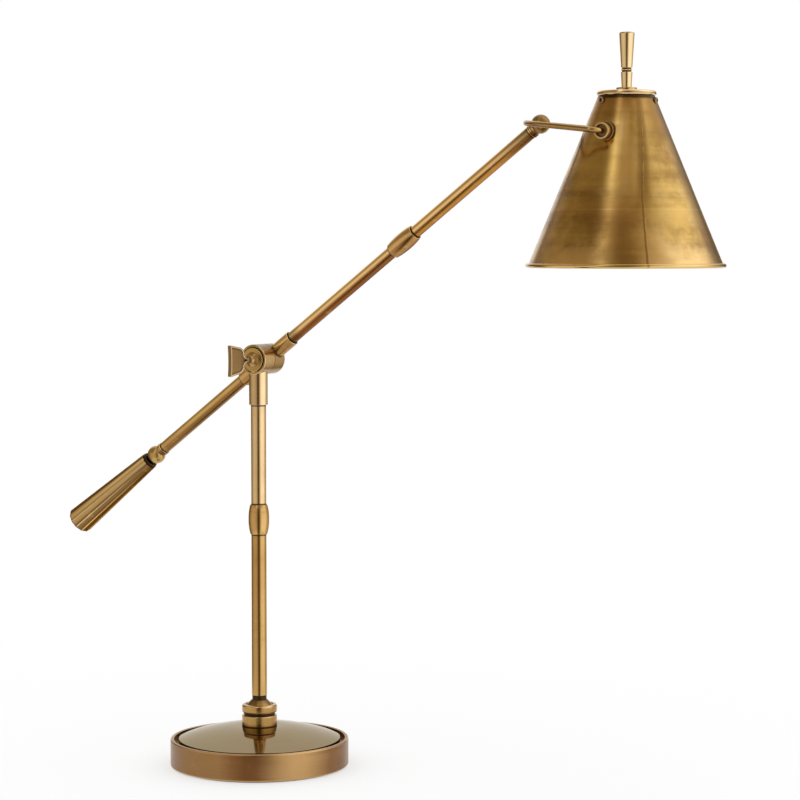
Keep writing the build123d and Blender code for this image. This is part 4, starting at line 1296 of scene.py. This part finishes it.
@dataclass
class Fork(SubAssembly):
    """Bent tube through the tip ball, with a cup and a ring at each end."""

    body: ClassVar[str] = "fork"
    radius: float = 2.7
    half_w: float = 64.0
    corner_r: float = 46.0
    corner_steps: int = 24
    bend_r: float = 8.4
    bend_steps: int = 10
    end: float = 50.4
    ring_r: float = 7.1
    ring_bore_r: float = 2.55
    ring_low: float = 45.9
    cap_r: float = 7.8
    cap_bore_r: float = 2.75
    cap_low: float = 48.3
    cap_face: float = 53.3
    cup_r: float = 5.9
    cup_lip_r: float = 6.1
    cup_depth: float = 2.4

    def build(self) -> None:
        """Make the tube, the cups and the rings."""
        stance = self.layout.fork
        underside = stance @ Matrix.Rotation(radians(90), 4, "Y")
        self.add(self.bent_tube().place(stance), "fork_tube", FORK_BRASS, underside)
        for name, side in PIVOT_SIDES:
            pivot = self.layout.pivot(side)
            cup_floor = self.cap_face - self.cup_depth
            # Painted shade inside the cup.
            cap = Workpiece().turned(
                (self.cap_bore_r, self.cap_low), (self.cap_r, self.cap_low, 0.5),
                (self.cap_r, self.cap_face, 0.5), (self.cup_lip_r, self.cap_face, 0.3),
                (self.cup_r, self.cap_face - 0.5, 0, 0.3), (self.cup_r, cup_floor, 0, 0.75),
                (self.cap_bore_r, cup_floor, 0, 0.6), place=pivot)
            self.add(cap, f"pivot_cap_{name}", SATIN_BRASS, pivot)
            ring = Workpiece().tube(self.ring_r, self.ring_bore_r, self.ring_low, self.cap_low, 0.8, pivot)
            self.add(ring, f"pivot_ring_{name}", TURNED_BRASS, pivot)

    def bent_tube(self) -> Workpiece:
        """Draw a ring along the fork's path.

        Returns:
            The workpiece, in the fork's own stance.
        """
        work = Workpiece()
        bm = work.bm
        length, bend, corner = self.layout.fork_length, self.bend_r, self.corner_r
        start = Matrix.Translation((length, -self.end, 0)) @ Matrix.Rotation(radians(90), 4, "X")
        ring = bmesh.ops.create_circle(bm, cap_ends=False, segments=24, radius=self.radius, matrix=start)
        edges = once(edge for vert in ring["verts"] for edge in vert.link_edges)
        run = self.half_w - corner
        leg = length - corner - bend
        mouth = (0, self.end - self.half_w + bend, 0)
        for step, centre, steps in (
                (mouth, (length - bend, bend - self.half_w, 0), self.bend_steps),
                ((-leg, 0, 0), (corner, -run, 0), self.corner_steps),
                ((0, 2 * run, 0), (corner, run, 0), self.corner_steps),
                ((leg, 0, 0), (length - bend, self.half_w - bend, 0), self.bend_steps)):
            edges = self.turn_on(bm, self.run_on(bm, edges, step), centre, steps)
        self.run_on(bm, edges, mouth)
        bmesh.ops.remove_doubles(bm, verts=bm.verts[:], dist=work.merge_distance)
        bmesh.ops.holes_fill(bm, edges=[edge for edge in bm.edges if edge.is_boundary], sides=0)
        bmesh.ops.recalc_face_normals(bm, faces=bm.faces[:])
        return work

    @staticmethod
    def run_on(bm: bmesh.types.BMesh, edges: Edges, step: Sequence[float]) -> Edges:
        """Draw the ring straight on.

        Args:
            bm: Mesh that it is part of.
            edges: Edges of the ring.
            step: How far to go.

        Returns:
            Edges of the new ring.
        """
        geom = bmesh.ops.extrude_edge_only(bm, edges=edges)["geom"]
        verts = [item for item in geom if isinstance(item, bmesh.types.BMVert)]
        bmesh.ops.translate(bm, verts=verts, vec=step)
        return [item for item in geom if isinstance(item, bmesh.types.BMEdge)
                and all(vert in verts for vert in item.verts)]

    @staticmethod
    def turn_on(bm: bmesh.types.BMesh, edges: Edges, centre: Sequence[float], steps: int) -> Edges:
        """Draw the ring round a quarter turn, clockwise from above.

        Args:
            bm: Mesh that it is part of.
            edges: Edges of the ring.
            centre: Centre of the turn.
            steps: Facets along the turn.

        Returns:
            Edges of the new ring.
        """
        verts = once(vert for edge in edges for vert in edge.verts)
        made = bmesh.ops.spin(
            bm, geom=verts + edges, cent=centre, axis=(0, 0, -1), dvec=(0, 0, 0), angle=pi / 2, steps=steps,
            use_merge=False, use_normal_flip=False, use_duplicate=False)
        return [item for item in made["geom_last"] if isinstance(item, bmesh.types.BMEdge)]

    def dress(self) -> None:
        """Every piece of the fork is made anew."""


@dataclass
class Shade(SubAssembly):
    """Conical shade with its cap, pivots, lampholder and bulb."""

    body: ClassVar[str] = "shade"
    screw_angles: ClassVar[Tuple[int, ...]] = (5, 125, 245)
    height: float = 164.1
    top_r: float = 27.1
    bottom_r: float = 94.6
    wall: float = 0.8
    bead_r: float = 96.2
    bead_h: float = 4.4
    bead_w: float = 3.4
    lid_r: float = 28.6
    lid_h: float = 4.8
    lid_floor: float = 3.0
    skirt_r: float = 25.9
    skirt_inner_r: float = 24.4
    skirt_low: float = -9.0
    bush_r: float = 3.65
    washer_r: float = 10.0
    stem_low: float = 8.0
    stem_top: float = 22.6
    stem_low_r: float = 4.75
    stem_top_r: float = 5.6
    spindle_r: float = 2.05
    saddle_r: float = 9.0
    saddle_bore_r: float = 2.55
    saddle_depth: float = 5.5
    saddle_face: float = 45.8
    screw_drop: float = 5.0
    screw_r: float = 3.1

    @property
    def slope(self) -> float:
        """Growth of the cone's radius for each millimetre down."""
        return (self.bottom_r - self.top_r) / self.height

    def build(self) -> None:
        """Make the shell, the cap and what stands on it."""
        stance = self.layout.shade
        self.add(self.shell().place(stance), "shade_shell", SHADE_BRASS, stance, Slot.SHADE)
        lid = Workpiece().turned(
            (self.bush_r, self.lid_floor), (self.skirt_inner_r, self.lid_floor),
            (self.skirt_inner_r, self.skirt_low), (self.skirt_r, self.skirt_low), (self.skirt_r, 0.0),
            (self.lid_r, 0.0, 1.6), (self.lid_r, self.lid_h, 2.4), (self.bush_r, self.lid_h), steps=128)
        self.add(lid.place(stance), "shade_lid", LID_BRASS, stance, Slot.POLISHED)
        washer = Workpiece().tube(self.washer_r, self.bush_r, self.lid_h, self.lid_h + 3.2, 0.8, stance)
        self.add(washer, "knob_washer", TURNED_BRASS, stance, Slot.POLISHED)
        stem = Workpiece().turned(
            (self.spindle_r, self.stem_low), (self.stem_low_r, self.stem_low, 0.3),
            (self.stem_top_r, self.stem_top, 0.4), (self.spindle_r, self.stem_top), place=stance)
        self.add(stem, "knob_stem", BRIGHT_BRASS, stance, Slot.POLISHED)
        self.build_pivots()
        self.build_screws()

    def shell(self) -> Workpiece:
        """Make the cone with its rolled rim.

        Returns:
            The workpiece, its upper edge at height 0.
        """
        low = -self.height
        roll = low + self.bead_h
        wall_r = self.bottom_r - self.slope * self.bead_h
        return Workpiece().turned(
            (self.top_r - self.wall, 0), (self.top_r, 0, 0.3), (wall_r, roll), (self.bead_r, roll, 1.9),
            (self.bead_r, low, 1.9), (self.bead_r - self.bead_w, low, 0.4), (wall_r - self.wall, roll),
            steps=256)

    def build_pivots(self) -> None:
        """Make the dark saddles between the cone and the pivot rings."""
        inside = self.top_r + self.slope * self.layout.hinge_depth - self.saddle_depth
        for name, side in PIVOT_SIDES:
            pivot = self.layout.pivot(side)
            saddle = Workpiece().turned(
                (self.saddle_bore_r, inside), (self.saddle_r, inside), (self.saddle_r, self.saddle_face, 0.5),
                (self.saddle_bore_r, self.saddle_face), place=pivot, steps=64)
            self.add(saddle, f"pivot_saddle_{name}", DARK_BRASS, pivot)

    def build_screws(self) -> None:
        """Make the screws below the cap, each with a hollow in its head."""
        stance = self.layout.shade
        seat = self.top_r + self.slope * self.screw_drop
        work = Workpiece()
        for angle in self.screw_angles:
            turn = Matrix.Rotation(radians(angle), 4, "Z") @ Matrix.Translation((0, 0, -self.screw_drop))
            axis = stance @ turn @ Matrix.Rotation(radians(90), 4, "Y")
            work.turned(
                (0, seat - 1.4), (self.screw_r, seat - 1.4), (self.screw_r, seat + 2.2, 1.2),
                (1.2, seat + 2.2), (1.0, seat + 1.6), (0, seat + 1.6), steps=32, place=axis)
        self.add(work, "lid_screws", DARK_BRASS, stance, Slot.DARK)

    def dress(self) -> None:
        """Coat what stays a plain solid."""
        self.coat(STEEL, "pivot_pins")
        self.coat(PHENOLIC, "switch_body", "lampholder")
        self.coat(BRIGHT_BRASS, "socket_shell", "centre_contact")
        self.coat(CAP_METAL, "bulb_cap")
        self.coat(FROSTED, "bulb_glass")


@dataclass
class Knob(SubAssembly):
    """Tapered knob with a beaded groove at its foot."""

    body: ClassVar[str] = "knob"
    low: float = 22.7
    groove_r: float = 4.5
    grip_low: float = 26.5
    grip_low_r: float = 5.4
    grip_top_r: float = 7.4
    top: float = 60.5
    beads: int = 22
    bead_r: float = 0.75
    bead_ring_r: float = 4.75

    def build(self) -> None:
        """Make the knob and its ring of beads."""
        stance = self.layout.shade
        # Painted shade in the beaded groove and along the top edge.
        work = Workpiece().turned(
            (0, self.low), (self.groove_r, self.low, 0, 1), (self.groove_r, self.grip_low, 0, 1),
            (self.grip_low_r, self.grip_low, 0.4), (self.grip_top_r, self.top - 1.7),
            (6.9, self.top - 0.5, 0, 0.5), (5.7, self.top, 0, 0.6), (0, self.top))
        for number in range(self.beads):
            turn = Matrix.Rotation(tau * number / self.beads, 4, "Z")
            seat = Matrix.Translation((self.bead_ring_r, 0, (self.low + self.grip_low) / 2))
            work.ball(self.bead_r, turn @ seat, 12, 8)
        self.add(work.place(stance), "switch_knob", BRIGHT_BRASS, stance, Slot.POLISHED)

    def dress(self) -> None:
        """Coat what stays a plain solid."""
        self.coat(STEEL, "switch_spindle")


class Panels(Enum):
    """Brightness of a screen by angle from the camera, positive to the right: low part, then high part."""

    TENT = (
        ((-166, 0.20), (-116, 0.12), (-98, 0.40), (-60, 0.52), (-24, 0.44), (-10, 0.12), (0, 0.04), (9, 0.05),
         (20, 0.45), (36, 0.85), (85, 0.85), (102, 0.50), (124, 0.42), (138, 0.12), (166, 0.20)),
        ((-166, 0.62), (-146, 0.52), (-122, 0.24), (-58, 0.20), (-45, 0.22), (-36, 0.55), (-28, 1.0),
         (-20, 0.55), (-10, 0.34), (9, 0.28), (34, 0.40), (50, 0.52), (64, 0.75), (85, 0.92), (110, 0.90),
         (125, 0.60), (142, 0.50), (166, 0.62)))
    SCREEN = (TENT[0], TENT[0])
    FLOOR = (
        ((-30, 0.62), (-21, 0.55), (-11, 0.12), (0, 0.04), (10, 0.06), (20, 0.55), (30, 0.62)),
        ((-30, 0.62), (30, 0.62)))

    def stops(self, part: int) -> Sequence[Tuple[float, Colour]]:
        """Colour ramp stops of the low part (0) or the high part (1)."""
        return [(0.5 + angle / 360.0, self.tinted(level)) for angle, level in self.value[part]]

    @staticmethod
    def tinted(level: float) -> Colour:
        """Grey of a level, the warmer the darker it is."""
        dim = max(0.0, 1.0 - level / 0.62) ** 0.8
        return (level, level * (1.0 - 0.30 * dim), level * (1.0 - 0.75 * dim))


@dataclass
class Studio:
    """Floor, white surroundings, soft panels and the camera.

    Outlines give radius and height in metres.
    """

    tent: ClassVar[Profile] = ((4.0, 0.0), (4.0, 1.6), (3.5, 3.0), (2.2, 4.2), (0.9, 4.7))
    low_screen: ClassVar[Profile] = ((0.46, 0.0), (0.46, 0.43))
    floor_card: ClassVar[Profile] = ((0.235, 0.0005), (0.46, 0.0005))
    azimuth: float = 31.6
    side: float = 0.1478
    distance: float = 2.605
    height: float = 0.548
    pitch: float = 3.58
    lens: float = 112.5
    light: float = 1.12
    glow: float = 1.6
    floor_r: float = 9.0

    def build(self) -> None:
        """Set up everything that isn't part of the lamp."""
        scene = bpy.context.scene
        scene.view_settings.view_transform = "Standard"
        self.add_camera(scene)
        self.add_world(scene)
        self.add_floor()
        self.add_screens()

    def add_camera(self, scene: bpy.types.Scene) -> None:
        """Stand the camera at the viewing angle.

        Args:
            scene: Scene that it looks at.
        """
        turn = radians(self.azimuth)
        right = Vector((cos(turn), sin(turn), 0))
        toward = Vector((sin(turn), -cos(turn), 0))
        data = bpy.data.cameras.new("camera")
        data.lens = self.lens
        data.sensor_width = 36.0
        data.clip_end = 100.0
        camera = bpy.data.objects.new("camera", data)
        camera.location = right * self.side + toward * self.distance + Vector((0, 0, self.height))
        camera.rotation_euler = Euler((radians(90 - self.pitch), 0, turn))
        scene.collection.objects.link(camera)
        scene.camera = camera

    @staticmethod
    def seen(graph: Graph) -> Term:
        """Tell the rays that show the surroundings, straight or in metal and glass.

        Args:
            graph: Graph of the material or the world.

        Returns:
            1 for such rays, 0 for the others.
        """
        path = graph.node("ShaderNodeLightPath")
        shown = path.out("Is Camera Ray").apply("MAXIMUM", path.out("Is Glossy Ray"))
        return shown.apply("MAXIMUM", path.out("Is Transmission Ray"))

    def add_world(self, scene: bpy.types.Scene) -> None:
        """White surroundings, a little stronger as a light.

        Args:
            scene: Scene that they belong to.
        """
        world = bpy.data.worlds.new("surroundings")
        world.use_nodes = True
        scene.world = world
        graph = Graph(world.node_tree)
        light = graph.node("ShaderNodeBackground", {}, {"Color": WHITE, "Strength": self.light})
        white = graph.node("ShaderNodeBackground", {}, {"Color": WHITE, "Strength": 1.0})
        both = graph.node("ShaderNodeMixShader", {}, {0: self.seen(graph), 1: light, 2: white})
        graph.node("ShaderNodeOutputWorld", {}, {"Surface": both})

    def add_floor(self) -> None:
        """Pale floor that keeps a soft shadow near the lamp."""
        bm = bmesh.new()
        bmesh.ops.create_circle(bm, cap_ends=True, segments=96, radius=self.floor_r)
        floor = self.link(bm, "floor")
        material, graph = new_material("pale_floor")
        where = graph.node("ShaderNodeTexCoord").out("Object")
        reach = graph.node("ShaderNodeVectorMath", {"operation": "LENGTH"}, {0: where}).out("Value")
        away = reach.ramp(0.25, 0.9)
        glow = graph.node("ShaderNodeEmission", {}, {"Color": WHITE, "Strength": 1.0})
        matt = graph.node("ShaderNodeBsdfDiffuse", {}, {"Color": (0.88, 0.88, 0.88, 1.0)})
        share = self.seen(graph) * (0.55 + away * 0.45)
        both = graph.node("ShaderNodeMixShader", {}, {0: share, 1: matt, 2: glow})
        graph.node("ShaderNodeOutputMaterial", {}, {"Surface": both})
        floor.data.materials.append(material)

    def add_screens(self) -> None:
        """A far tent, a low screen close by and a card on the floor, which only the metal mirrors."""
        self.add_screen("studio_tent", self.tent, Panels.TENT, 24.0)
        self.add_screen("low_screen", self.low_screen, Panels.SCREEN, 36.0)
        self.add_screen("floor_card", self.floor_card, Panels.FLOOR, 150.0)

    def add_screen(self, name: str, outline: Profile, panels: Panels, opening: float) -> None:
        """Turn a screen round the lamp, open behind it.

        Args:
            name: Name of the stage object.
            outline: Radius and height of its points, in metres.
            panels: Brightness by angle.
            opening: Half the gap behind the lamp, in degrees.
        """
        bm = bmesh.new()
        verts = [bm.verts.new((0, radius, height)) for radius, height in outline]
        edges = [bm.edges.new(pair) for pair in zip(verts, verts[1:])]
        facing, gap = radians(self.azimuth), radians(opening)
        bmesh.ops.rotate(bm, cent=(0, 0, 0), matrix=Matrix.Rotation(facing + gap, 3, "Z"), verts=verts)
        bmesh.ops.spin(
            bm, geom=verts + edges, cent=(0, 0, 0), axis=(0, 0, 1), dvec=(0, 0, 0), angle=tau - 2 * gap,
            steps=96, use_merge=False, use_normal_flip=False, use_duplicate=False)
        screen = self.link(bm, name)
        screen.visible_camera = False
        screen.visible_shadow = False
        screen.visible_diffuse = False
        material, graph = new_material(name)
        parts = graph.split(graph.local(Matrix.Rotation(facing, 4, "Z")))
        turned = parts.out("X").apply("ARCTAN2", parts.out("Y") * -1.0)
        share = turned * (1.0 / tau) + 0.5
        low = graph.node("ShaderNodeValToRGB", {"stops": panels.stops(0)}, {0: share})
        high = graph.node("ShaderNodeValToRGB", {"stops": panels.stops(1)}, {0: share})
        level = graph.mix(parts.out("Z").ramp(1.0, 2.4), low, high)
        glow = graph.node("ShaderNodeEmission", {}, {"Color": level, "Strength": self.glow})
        graph.node("ShaderNodeOutputMaterial", {}, {"Surface": glow})
        screen.data.materials.append(material)

    @staticmethod
    def link(bm: bmesh.types.BMesh, name: str) -> bpy.types.Object:
        """Make a stage object from a bmesh.

        Args:
            bm: Its mesh, which is used up.
            name: Its name.

        Returns:
            The object.
        """
        mesh = bpy.data.meshes.new(name)
        bm.to_mesh(mesh)
        bm.free()
        made = bpy.data.objects.new(name, mesh)
        bpy.context.scene.collection.objects.link(made)
        return made


def main() -> None:
    """Build the lamp around its solids and light it."""
    logging.basicConfig(level=logging.INFO, format="%(message)s")
    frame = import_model()
    layout = Layout()
    materials = Materials()
    for group in (Base, Stem, Boom, ThumbScrew, Fork, Shade, Knob):
        made = group(layout, materials, frame["nodes"])
        made.build()
        made.dress()
    Studio().build()


if __name__ == "__main__":
    main()
